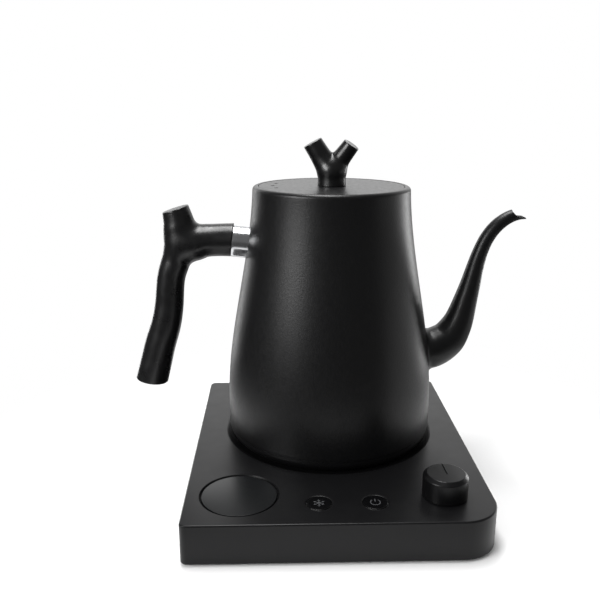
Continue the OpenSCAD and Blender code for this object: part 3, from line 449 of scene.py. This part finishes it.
def make_centre_piece():
    """A shallow dome with a bead round the connector, a step below the well's floor."""
    bore, bead, crown, fall, reach = 19.3, 22.4, 23.88, 2.08, 17.6
    profile = rounded([(bore, 19), (bore, 25.0, 0.3), (22, 25.0, 0.75), (22, 23.9, 0.5),
                       (bead, crown)], steps=5)
    profile += [(bead + reach * t, crown - fall * t * t) for t in (k / 16 for k in range(1, 17))]
    profile += [(40.4, 21.76)]
    profile += rounded([(41, 21.75), (43.4, 21.75, 0.3), (43.4, 20.4)], steps=3)[1:]
    profile += [(56, 20.4), (56, 18.8), (40, 18.8), (38, 19.4)]
    piece = lathe("centre_piece", profile, CASE, 192, (*AXIS, 0), sharp=50)
    dressed(piece, "base", "case_plastic", "centre_dome")


def make_connector():
    """Four upright rings with grooves between them, on a flange under the centre piece."""
    groove, flange = 26.4, 16.5
    profile = [(0, groove)]
    for inner, outer, top, low in ((2.6, 4.3, 38.2, groove), (7.5, 9.2, 38.2, groove),
                                   (12.4, 14.1, 38.2, groove), (17.3, 19, 38.4, flange)):
        profile += rounded([(inner, groove), (inner, top, 0.2), (outer, top, 0.25), (outer, low)],
                           steps=3)
        if low == groove:
            profile += [(outer + 0.01, groove)]
    profile += [(28, flange), (28, 14.5), (0, 14.5)]
    rings = lathe("connector", profile, CONNECTOR, 128, (*AXIS, 0))
    cut(rings, block("notch", (16.3, 20, 28), (20, 24, 35)))
    dressed(rings, "base", "connector_plastic", "connector_housing")


def make_window():
    """The display's cover, a little below the case's top."""
    r, low, high = 21.7, 23.5, 25.2
    profile = rounded([(0, low), (18, low), (r, low), (r, high, 0.2), (0, high)], steps=4)
    window = lathe("window", profile, WINDOW, 128, (*WINDOW_AT, 0))
    dressed(window, "base", "window_plastic", "display_window")


make_case()
make_centre_piece()
make_connector()
make_window()


# ---------- buttons ----------

def ring_part(bm, at, inner, outer, z, start, end, steps=40):
    """A flat mark: part of a ring, from one angle to another."""
    rows = []
    for k in range(steps + 1):
        a = math.radians(start + (end - start) * k / steps)
        rows.append([bm.verts.new((at[0] + r * math.cos(a), at[1] + r * math.sin(a), z))
                     for r in (inner, outer)])
    for (a, b), (c, d) in zip(rows, rows[1:]):
        bm.faces.new((a, b, d, c))


def bar(bm, at, length, width, z, turn, offset=0.0):
    """A flat mark: a bar with round ends, pointing away from a point."""
    points = []
    for end, first in ((offset + length, -90), (offset, 90)):
        for k in range(9):
            a = math.radians(first + 180 * k / 8)
            points.append(Vector((end + width / 2 * math.cos(a), width / 2 * math.sin(a), 0)))
    spun = Matrix.Rotation(math.radians(turn), 3, "Z")
    bm.faces.new([bm.verts.new(spun @ p + Vector((at[0], at[1], z))) for p in points])


def make_button(at, body, draw):
    """A cap on a wide foot, with its mark printed on it."""
    foot, r, top = 8.35, 7.15, 25.46
    cap = rounded([(0, 21.65), (foot, 21.65), (foot, 22.85), (r, 22.85), (r, top, 0.4),
                   (6.0, top), (0, 25.4)], steps=4)
    dressed(lathe(body + "_cap", cap, BUTTON, 96, (*at, 0)), body, "button_plastic", body)
    bm = bmesh.new()
    draw(bm, at, top + 0.015)
    dressed(made(body + "_mark", bm, INK), body, "button_plastic")


def power_mark(bm, at, z):
    """An open ring with a bar in its gap."""
    ring_part(bm, at, 2.5, 3.05, z, 125, 415)
    bar(bm, at, 2.3, 0.55, z, 90, 1.0)


def hold_mark(bm, at, z):
    """A six-armed star with barbs; crossing bars lie at slightly different heights."""
    for turn in range(0, 180, 60):
        bar(bm, at, 6.4, 0.5, z + turn * 2e-5, turn + 30, -3.2)
    for turn in range(0, 360, 60):
        a = math.radians(turn + 30)
        fork = (at[0] + 2.0 * math.cos(a), at[1] + 2.0 * math.sin(a))
        for side in (-1, 1):
            bar(bm, fork, 0.9, 0.4, z + 0.004, turn + 30 + side * 50)


make_button(POWER_AT, "power_button", power_mark)
make_button(HOLD_AT, "hold_button", hold_mark)


# ---------- dial ----------

def make_dial():
    """The dial, with a pointer groove and a recess for its shaft's nut."""
    r, low, high = 13, 25.9, 39.8
    x, y = DIAL_AT
    profile = rounded([(0, low), (8, low), (r, low, 0.3), (r, high - 2, 1.0), (11, high, 0.9),
                       (0, high)], steps=6)
    dial = lathe("dial", profile, DIAL, 160, (x, y, 0))
    cut(dial, block("pointer", (x - 1.5, y - 0.6, high - 0.6), (x + 14.25, y + 0.6, high + 2),
                    92, DIAL_AT, 0.25))
    cut(dial, rod("recess", 7.4, 25, 30.7, DIAL_AT, 64))
    flatten(dial)
    dressed(dial, "dial", "dial_plastic", "dial_knob")


make_dial()


# ---------- kettle body ----------

def make_vessel():
    """The body: coated outside, a rolled rim, a ledge for the lid and bare steel inside."""
    roll = 2.5
    rim = BODY_H - roll
    outside = [(68.15, 0), (68.35, 0.08), (BODY_R, 0.3)]
    outside += [(body_radius(z), z) for z in np.linspace(2, rim, 90)]
    middle = body_radius(rim) - roll
    outside += [(middle + roll * math.cos(a), rim + roll * math.sin(a)) for a in angles(9, 1, 11)]
    mouth, throat, ledge = 46.8, 43.4, 158.4
    lip = rounded([(47.5, BODY_H), (mouth, BODY_H, 0.25), (mouth, ledge, 0.3),
                   (throat, ledge, 0.4), (throat, 148, 0.4), (44.4, 148), (44.4, 157.4, 0.6),
                   (48.6, 157.4)], steps=4)
    inside = [(body_radius(z) - 1, z) for z in np.linspace(156.4, 0, 60)]
    inside[-1] = (BODY_R - 1, 0)
    coated_lip = 8              # the coat ends at this point of the lip, where the ledge starts
    bare = len(outside) + coated_lip
    shell = lathe("vessel", outside + lip + inside, [POWDER, INNER], 192, SEATED, True,
                  lambda i: 1 if i >= bare else 0)
    # the strainer behind the spout: rows of small holes within a round
    holes = [(4.6 * (c + (abs(row) % 2) / 2), 4 * row)
             for row in range(-2, 3) for c in range(-2, 3)]
    for y, z in holes:
        if y ** 2 + z ** 2 < 100:
            place = (BODY_R, AXIS_Y + y, SEAM + SPOUT_ROOT + z)
            cut(shell, laid(rod("strainer", 1.6, -12, 8, segments=24), place, "Y"))
    dressed(shell, "kettle", "powder_coat", "vessel_shell")


def make_lid():
    """The lid's disc, with three vents towards the handle."""
    r, low, vent_ring = 46.5, 158.6, 37.5
    profile = rounded([(0, low), (r, low, 0.2), (r, LID_TOP, 0.35), (0, LID_TOP)], steps=4)
    disc = lathe("lid", profile, POWDER, 192, SEATED)
    for degrees in (160, 180, 200):
        a = math.radians(degrees)
        at = (vent_ring * math.cos(a), AXIS_Y + vent_ring * math.sin(a))
        cut(disc, rod("vent", 1.3, SEAM + 150, SEAM + 170, at, 32))
    flatten(disc)
    dressed(disc, "lid", "powder_coat", "lid_disc")


make_vessel()
make_lid()


# ---------- spout ----------

# Stations of (out from the axis, over the root, radius)
SPOUT = [(55, -1.4, 14.2), (66, -0.6, 14), (73.4, 1.5, 13.3), (80.6, 6.8, 12.2),
         (85.4, 14.5, 10.6), (88.3, 22, 9.3), (91.1, 33, 7.9), (93.8, 44.3, 6.7),
         (96.1, 55.3, 5.7), (98.8, 65.6, 5.05), (102.7, 75.4, 4.7), (108.1, 83.2, 4.5),
         (115, 88.8, 4.2), (122.5, 91.7, 3.9), (131, 92.2, 3.7)]
LAST = len(SPOUT) - 1
# What is cut off at the tip, from the side: (out from the axis, over the root, radius)
MOUTH = [(117.4, 98), (118, 93.4, 0.5), (120.8, 90.4, 1.2), (126, 90.1, 1.5), (128.7, 87.6),
         (128.7, 80), (150, 80), (150, 120), (117.4, 120)]


def spout_point(u, a, thinner=0.0):
    """A point of the spout's skin at a station and an angle round it."""
    p = curve_at(SPOUT, u)
    step = curve_at(SPOUT, min(u + 0.02, LAST)) - curve_at(SPOUT, max(u - 0.02, 0))
    size = math.hypot(step[0], step[1])
    out, up = step[0] / size, step[1] / size
    r = p[2] - thinner
    return Vector((p[0] - r * math.cos(a) * up, r * math.sin(a),
                   p[1] + SPOUT_ROOT + r * math.cos(a) * out))


def over_body(p):
    """How far a point in the kettle's own frame lies outside the body."""
    return math.hypot(p.x, p.y) - body_radius(p.z)


def leaves_body(point):
    """The share along a line at which it leaves the body."""
    lo, hi = 0.0, 1.0
    for _ in range(30):
        mid = (lo + hi) / 2
        lo, hi = (mid, hi) if over_body(point(mid)) < 0 else (lo, mid)
    return hi


def spout_start(a, thinner=0.0):
    """The station at which the spout's skin leaves the body."""
    reach = 3.2
    return reach * leaves_body(lambda t: spout_point(reach * t, a, thinner))


def spout_line(a):
    """A closed line along the spout: a fillet at the body, the skin out and the bore back."""
    fillet, wall, steps = 2.6, 1.0, 104
    middle = Vector((68, 0, SPOUT_ROOT))
    start = spout_start(a)
    meet = spout_point(start, a)
    normal = Vector((meet.x, meet.y, 0)).normalized()
    away = meet - middle
    away = (away - normal * away.dot(normal)).normalized()
    foot = meet + away * fillet
    shrink = (body_radius(foot.z) + 0.02) / math.hypot(foot.x, foot.y)
    foot = Vector((foot.x * shrink, foot.y * shrink, foot.z))
    # stations along the spout, a little closer together near the body; the fillet ends at the
    # first that is far enough from the corner
    shares = [j / 110 for j in range(111)]
    tries = [start + (LAST - start) * (t * 0.85 + t ** 2 * 0.15) for t in shares]
    begin = next(u for u in tries if (spout_point(u, a) - meet).length > fillet)
    head = spout_point(begin, a)
    line = [swung(foot, meet, head, j / 7) for j in range(8)]
    line += [spout_point(begin + (LAST - begin) * j / steps, a) for j in range(1, steps + 1)]
    bore = spout_start(a, wall)
    inner = [spout_point(bore + (LAST - bore) * j / steps, a, wall) for j in range(steps + 1)]
    return line + inner[::-1]


def make_spout():
    """The gooseneck, with its lip cut out of the tip."""
    sides = 64
    lines = [spout_line(2 * math.pi * k / sides) for k in range(sides)]
    spout = collar("spout_tube", lines, POWDER, 40)
    outline = rounded(MOUTH, steps=4)
    mouth = stack("mouth", [(outline, -10), (outline, 10)], [])
    cut(spout, laid(mouth, (0, AXIS_Y, SEAM + SPOUT_ROOT), "X"), sharp=40)
    dressed(spout, "kettle", "powder_coat", "spout")


make_spout()


# ---------- branch-shaped handle and knob ----------

def limb_field(stations, spans=7):
    """The distance from a limb of round section through stations of (x, y, z, radius)."""
    last = len(stations) - 1
    path = np.array([curve_at(stations, u) for u in np.linspace(0, last, last * spans + 1)])

    def field(p):
        best = np.full(len(p), 1e9)
        for a, b in zip(path, path[1:]):
            along = b[:3] - a[:3]
            t = np.clip(((p - a[:3]) @ along) / (along @ along), 0, 1)
            gap = np.linalg.norm(p - (a[:3] + t[:, None] * along), axis=1)
            best = np.minimum(best, gap - (a[3] + t * (b[3] - a[3])))
        return best
    return field


def joined(fields, blend):
    """Limbs grown together, with a fillet of about the blend at each fork."""
    def field(p):
        d = fields[0](p)
        for other in fields[1:]:
            e = other(p)
            h = np.clip(0.5 + 0.5 * (e - d) / blend, 0, 1)
            d = e * (1 - h) + d * h - blend * h * (1 - h)
        return d
    return field


def carved(field, depth, size):
    """Gentle waves in the skin, as a hand-shaped branch has them."""
    def waved(p):
        x, y, z = (p / size).T
        wave = np.sin(x * 2.1 + 1.3 * np.sin(z)) * np.sin(y * 2.7 + z * 0.6 + 0.8)
        wave += 0.5 * np.sin(z * 1.7 + 1.7 * np.sin(x * 1.1 + y * 1.9))
        return field(p) + depth * wave
    return waved


def settled(field, points):
    """Points moved along the field's slope until they lie where it is nil."""
    near = 0.05
    for _ in range(3):
        d = field(points)
        slope = np.stack([(field(points + e) - field(points - e)) / (2 * near)
                          for e in near * np.eye(3)], 1)
        points = points - (d / np.maximum((slope * slope).sum(1), 0.2))[:, None] * slope
    return points


def skin(field, lo, hi, step):
    """The surface where a field is nil, as an even mesh of quads."""
    # one vertex in each cell of a grid that the surface passes through
    lo = np.array(lo, float)
    n = [int((h - l) / step) + 2 for l, h in zip(lo, hi)]
    grid = np.stack(np.meshgrid(*[lo[i] + step * np.arange(n[i]) for i in range(3)],
                                indexing="ij"), -1)
    within = field(grid.reshape(-1, 3)).reshape(n) < 0
    count = sum(within[x:n[0] - 1 + x, y:n[1] - 1 + y, z:n[2] - 1 + z].astype(int)
                for x, y, z in itertools.product((0, 1), repeat=3))
    active = (count > 0) & (count < 8)
    number = -np.ones(active.shape, int)
    number[active] = np.arange(active.sum())
    verts = lo + (np.argwhere(active) + 0.5) * step
    # a quad across each grid line on which the field changes sign
    quads = []
    for axis in range(3):
        b, c = (axis + 1) % 3, (axis + 2) % 3
        first = np.take(within, range(n[axis] - 1), axis)
        changes = np.argwhere(first != np.take(within, range(1, n[axis]), axis))
        changes = changes[(changes[:, b] > 0) & (changes[:, c] > 0)]
        to_b, to_c = np.eye(3, dtype=int)[b], np.eye(3, dtype=int)[c]
        ring = [number[tuple((changes - s).T)] for s in (0 * to_b, to_b, to_b + to_c, to_c)]
        quads += [q for q in np.stack(ring, 1).tolist() if min(q) >= 0 and len(set(q)) == 4]
    # the vertices slide on the surface towards their neighbours' middle
    edges = np.array([(q[i], q[(i + 1) % 4]) for q in quads for i in range(4)])
    verts = settled(field, verts)
    for _ in range(3):
        total, links = np.zeros_like(verts), np.zeros(len(verts))
        for s, e in (edges.T, edges.T[::-1]):
            np.add.at(total, s, verts[e])
            np.add.at(links, s, 1)
        verts = settled(field, verts * 0.4 + 0.6 * total / links[:, None])
    bm = bmesh.new()
    points = [bm.verts.new(v) for v in verts]
    for q in quads:
        bm.faces.new([points[i] for i in q])
    return bm


def middle_of(part):
    """The middle of a vertex, an edge or a face."""
    if isinstance(part, bmesh.types.BMVert):
        return part.co
    if isinstance(part, bmesh.types.BMFace):
        return part.calc_center_median()
    return (part.verts[0].co + part.verts[1].co) / 2


def open_edge(cutting):
    """The vertices round a fresh cut, in order."""
    loop = [g for g in cutting["geom_cut"] if isinstance(g, bmesh.types.BMEdge) and g.is_boundary]
    order = [loop[0].verts[0], loop[0].verts[1]]
    rest = set(loop[1:])
    while rest:
        step = next((e for e in rest if order[-1] in e.verts), None)
        if step is None:
            break
        rest.discard(step)
        order.append(step.other_vert(order[-1]))
    if order[0] is order[-1]:
        order.pop()
    return order


def flat_end(bm, at, normal, edge):
    """Cuts a limb off square; its end gets a rounded edge and a faintly dished face."""
    reach = 34                  # only this near to the end, so other limbs stay whole
    at, normal = Vector(at), Vector(normal).normalized()
    near = [part for part in bm.verts[:] + bm.edges[:] + bm.faces[:]
            if (middle_of(part) - at).length < reach]
    cutting = bmesh.ops.bisect_plane(bm, geom=near, plane_co=at - normal * edge, plane_no=normal,
                                     clear_outer=True, dist=1e-4)
    order = open_edge(cutting)
    middle = sum((v.co for v in order), Vector()) / len(order)
    rings = [order]
    rows = [(edge * (1 - math.cos(a)), edge * math.sin(a)) for a in angles(18, 1, 6)]
    rows += [(edge + 0.5, edge), (edge + 1.2, edge - 0.12)]
    for inward, up in rows:
        rings.append([bm.verts.new(v.co + (middle - v.co).normalized() * inward + normal * up)
                      for v in order])
    for a, b in zip(rings, rings[1:]):
        band(bm, a, b)
    centre = bm.verts.new(middle + normal * (edge - 0.15))
    for a, b in zip(rings[-1], rings[-1][1:] + rings[-1][:1]):
        bm.faces.new((a, b, centre))


def leaning(degrees, nod=0):
    """Upwards, nodded about X and then leant over about Y."""
    upwards = Matrix.Rotation(math.radians(nod), 3, "X") @ Vector((0, 0, 1))
    return Matrix.Rotation(math.radians(degrees), 3, "Y") @ upwards


# Stations of (x, y, z, radius) in the kettle's own frame
TRUNK = [(-123.2, 0, 19, 10.9), (-120.8, 0, 28.7, 10.7), (-114.9, 0, 51, 10.3),
         (-110, 0, 66.4, 9.9), (-107.2, 0, 81, 9.4), (-105, 0, 98.9, 9.1),
         (-101.4, 0, 110.5, 9.3), (-97.4, 0, 121.5, 9.1), (-98, 0, 131, 10.3),
         (-98.4, 0, 137.4, 9.7), (-101.8, 0, 152, 7.7)]
ARM = [(-97.4, 0, 122, 10.2), (-89.5, 0, 122.8, 11.8), (-83, 0, 124.2, 10.9),
       (-74, 0, 124.7, 10.5), (-56, 0, 125.2, 11.1)]
FERRULE_Z, FERRULE_LEN, FERRULE_RISE = 123.4, 10, math.radians(6)
FERRULE_AT = Vector((-body_radius(FERRULE_Z), 0, FERRULE_Z))
FERRULE_WAY = Vector((-math.cos(FERRULE_RISE), 0, math.sin(FERRULE_RISE)))


def make_grip():
    """The grip: a trunk with a cut stub on top, and an arm to the ferrule."""
    field = carved(joined([limb_field(TRUNK), limb_field(ARM)], 5), 0.16, 12)
    bm = skin(field, (-140, -14, 2), (-42, 14, 166), 1.1)
    flat_end(bm, (-120.8, 0, 28.7), -leaning(9.5), 0.5)
    flat_end(bm, (-100.1, 0, 145.4), leaning(-17), 0.7)
    flat_end(bm, FERRULE_AT + FERRULE_WAY * FERRULE_LEN, -FERRULE_WAY, 0.5)
    bmesh.ops.translate(bm, vec=SEATED, verts=bm.verts)
    dressed(made("grip", bm, GRIP, 50), "kettle", "grip_plastic", "handle_grip")


def make_knob():
    """The lid's knob: a stem that forks into two cut limbs."""
    fork = (0.2, 0, 9.5, 9.1)
    stem = [(0.3, 0, -6, 9.3), (0.3, 0, 4, 8.9), fork]
    left = [fork, (-4.6, 0.4, 15.4, 7.2), (-8.2, 0.8, 20.6, 6.5), (-15, 1.4, 31.3, 6.1)]
    right = [fork, (4.2, -0.8, 15.2, 6.6), (7.6, -2, 19.8, 5.7), (14.8, -4.6, 29.9, 5.2)]
    limbs = [limb_field(stations) for stations in (stem, left, right)]
    bm = skin(carved(joined(limbs, 1.2), 0.1, 8), (-26, -16, -18), (24, 16, 42), 0.8)
    flat_end(bm, (-12, 1.2, 27.2), leaning(-29), 0.6)
    flat_end(bm, (12.2, -3.7, 26.1), leaning(33, 10), 0.6)
    flat_end(bm, (0.3, 0, 0), (0, 0, -1), 0.3)
    bmesh.ops.translate(bm, vec=(0, AXIS_Y, SEAM + LID_TOP), verts=bm.verts)
    dressed(made("knob", bm, GRIP, 50), "lid", "grip_plastic", "lid_knob")


def ferrule_line(a):
    """A closed line along the ferrule's wall, from the body to its far rim and back."""
    r, bore = 10.4, 9.0
    up = FERRULE_WAY.cross(Vector((0, 1, 0)))
    radial = Vector((0, 1, 0)) * math.cos(a) + up * math.sin(a)

    def at(radius, s):
        return FERRULE_AT + radial * radius + FERRULE_WAY * s

    def start(radius):
        back, span = -8, 12
        return back + span * leaves_body(lambda t: at(radius, back + span * t))
    near = start(r)
    line = [at(r, near + 0.02)]
    line += [at(r, near + (FERRULE_LEN - 0.25 - near) * j / 6) for j in range(1, 7)]
    return line + [at(10.33, FERRULE_LEN - 0.08), at(10.15, FERRULE_LEN), at(bore, FERRULE_LEN),
                   at(bore, start(bore))]


def make_ferrule():
    """The polished tube between the body and the grip's arm."""
    sides = 96
    lines = [ferrule_line(2 * math.pi * k / sides) for k in range(sides)]
    ferrule = collar("ferrule", lines, POLISHED, 40)
    dressed(ferrule, "kettle", "polished_steel", "handle_ferrule")


make_grip()
make_knob()
make_ferrule()


# ---------- floor, light and camera ----------

def make_floor():
    """A pale floor that fades out round the object, and is clear from below."""
    mat = bpy.data.materials.new("pale_floor")
    mat.use_nodes = True
    tree = mat.node_tree
    shader = tree.nodes["Principled BSDF"]
    for key, value in {"Base Color": linear("#f2f2f2"), "Roughness": 0.9,
                       "Specular IOR Level": 0.1}.items():
        shader.inputs[key].default_value = value
    place = node(tree, "ShaderNodeTexCoord")
    reach = node(tree, "ShaderNodeVectorMath", {"operation": "LENGTH"}, {0: (place, "Object")})
    fade = node(tree, "ShaderNodeMapRange",
                {"From Min": 125 * MM, "From Max": 280 * MM, "interpolation_type": "SMOOTHSTEP"},
                {"Value": (reach, "Value")})
    side = node(tree, "ShaderNodeNewGeometry")
    gone = node(tree, "ShaderNodeMath", {"operation": "MAXIMUM"},
                {0: (fade, "Result"), 1: (side, "Backfacing")})
    clear = node(tree, "ShaderNodeBsdfTransparent")
    mix = node(tree, "ShaderNodeMixShader", links={0: (gone, 0), 1: (shader, 0), 2: (clear, 0)})
    tree.links.new(mix.outputs[0], tree.nodes["Material Output"].inputs["Surface"])
    bm = bmesh.new()
    bmesh.ops.create_circle(bm, cap_ends=True, segments=96, radius=900)
    made("floor", bm, mat)


def make_world():
    """A plain even light. The camera sees white, and so do rays through clear material.
    Reflections see white behind the object, and grey elsewhere and below the horizon."""
    world = bpy.data.worlds.new("studio")
    bpy.context.scene.world = world
    world.use_nodes = True
    tree = world.node_tree
    place = node(tree, "ShaderNodeTexCoord")
    way = node(tree, "ShaderNodeSeparateXYZ", links={"Vector": (place, "Generated")})
    back = node(tree, "ShaderNodeVectorMath", {"operation": "DOT_PRODUCT", 1: (0.22, 0.975, 0)},
                {0: (place, "Generated")})
    behind = node(tree, "ShaderNodeMapRange",
                  {"From Min": 0.2, "From Max": 0.85, "To Min": 0.1, "To Max": 1.0,
                   "interpolation_type": "SMOOTHSTEP"}, {"Value": (back, "Value")})
    rise = node(tree, "ShaderNodeMapRange",
                {"From Min": -0.15, "From Max": 0.25, "To Min": 0.25, "To Max": 1.0,
                 "interpolation_type": "SMOOTHSTEP"}, {"Value": (way, "Z")})
    glow = node(tree, "ShaderNodeMath", {"operation": "MULTIPLY"},
                {0: (behind, "Result"), 1: (rise, "Result")})
    level = node(tree, "ShaderNodeMath", {"operation": "MULTIPLY_ADD", 1: 0.95, 2: 0.05},
                 {0: (glow, 0)})
    ray = node(tree, "ShaderNodeLightPath")
    direct = node(tree, "ShaderNodeMath", {"operation": "MAXIMUM"},
                  {0: (ray, "Is Camera Ray"), 1: (ray, "Is Transmission Ray")})
    strength = node(tree, "ShaderNodeMath", {"operation": "MAXIMUM"},
                    {0: (direct, 0), 1: (level, 0)})
    share = node(tree, "ShaderNodeMath", {"operation": "MAXIMUM"},
                 {0: (direct, 0), 1: (ray, "Is Glossy Ray")})
    plain = tree.nodes["Background"]
    plain.inputs["Color"].default_value = (1, 1, 1, 1)
    plain.inputs["Strength"].default_value = 0.45
    backdrop = node(tree, "ShaderNodeBackground", {"Color": (1, 1, 1, 1)},
                    {"Strength": (strength, 0)})
    mix = node(tree, "ShaderNodeMixShader", links={0: (share, 0), 1: (plain, 0), 2: (backdrop, 0)})
    tree.links.new(mix.outputs[0], tree.nodes["World Output"].inputs["Surface"])


def softbox(name, place, target, size, watts):
    """A rectangular lamp that faces a target, in metres."""
    lamp = bpy.data.lights.new(name, "AREA")
    lamp.shape, lamp.size, lamp.size_y = "RECTANGLE", size[0], size[1]
    lamp.energy = watts
    obj = bpy.data.objects.new(name, lamp)
    obj.location = place
    obj.rotation_euler = (Vector(target) - Vector(place)).to_track_quat("-Z", "Y").to_euler()
    bpy.context.scene.collection.objects.link(obj)


def make_camera():
    """The camera, by its place in mm and its turns in radians."""
    place, yaw, pitch, roll = Vector((-33.877, -441.517, 243.946)), 0.030, 0.269, 0.002
    ahead = Vector((math.sin(yaw) * math.cos(pitch), math.cos(yaw) * math.cos(pitch),
                    -math.sin(pitch)))
    right = Vector((math.cos(yaw), -math.sin(yaw), 0))
    up = right.cross(ahead)
    across = right * math.cos(roll) + up * math.sin(roll)
    upright = -right * math.sin(roll) + up * math.cos(roll)
    lens = bpy.data.cameras.new("camera")
    lens.lens, lens.sensor_width = 43.2, 36
    camera = bpy.data.objects.new("camera", lens)
    turned = Matrix((across, upright, -ahead)).transposed().to_4x4()
    camera.matrix_world = Matrix.Translation(place * MM) @ turned
    bpy.context.scene.collection.objects.link(camera)
    bpy.context.scene.camera = camera


make_floor()
make_world()
make_camera()
scene = bpy.context.scene
scene.view_settings.view_transform = "Standard"
BODY_MIDDLE = (0, 0.02, 0.1)        # in metres, as all that the lamps are placed by
softbox("key", (-0.83, -0.60, 0.49), (0, 0.02, 0.14), (0.52, 0.42), 9)
softbox("overhead", (-0.1, 0.1, 1.2), (-0.1, 0.02, 0.1), (0.35, 0.8), 13)
softbox("backdrop", (0, 1.5, 0.62), (0, 0, 0.03), (1.8, 0.45), 2.2)
softbox("right_low", (1.05, -0.05, -0.08), BODY_MIDDLE, (0.9, 0.5), 0.9)
softbox("right_edge", (1.0, 0.75, 0.02), BODY_MIDDLE, (0.4, 0.5), 3)
softbox("left_edge", (-0.75, 1.05, 0.1), BODY_MIDDLE, (0.25, 0.8), 2)
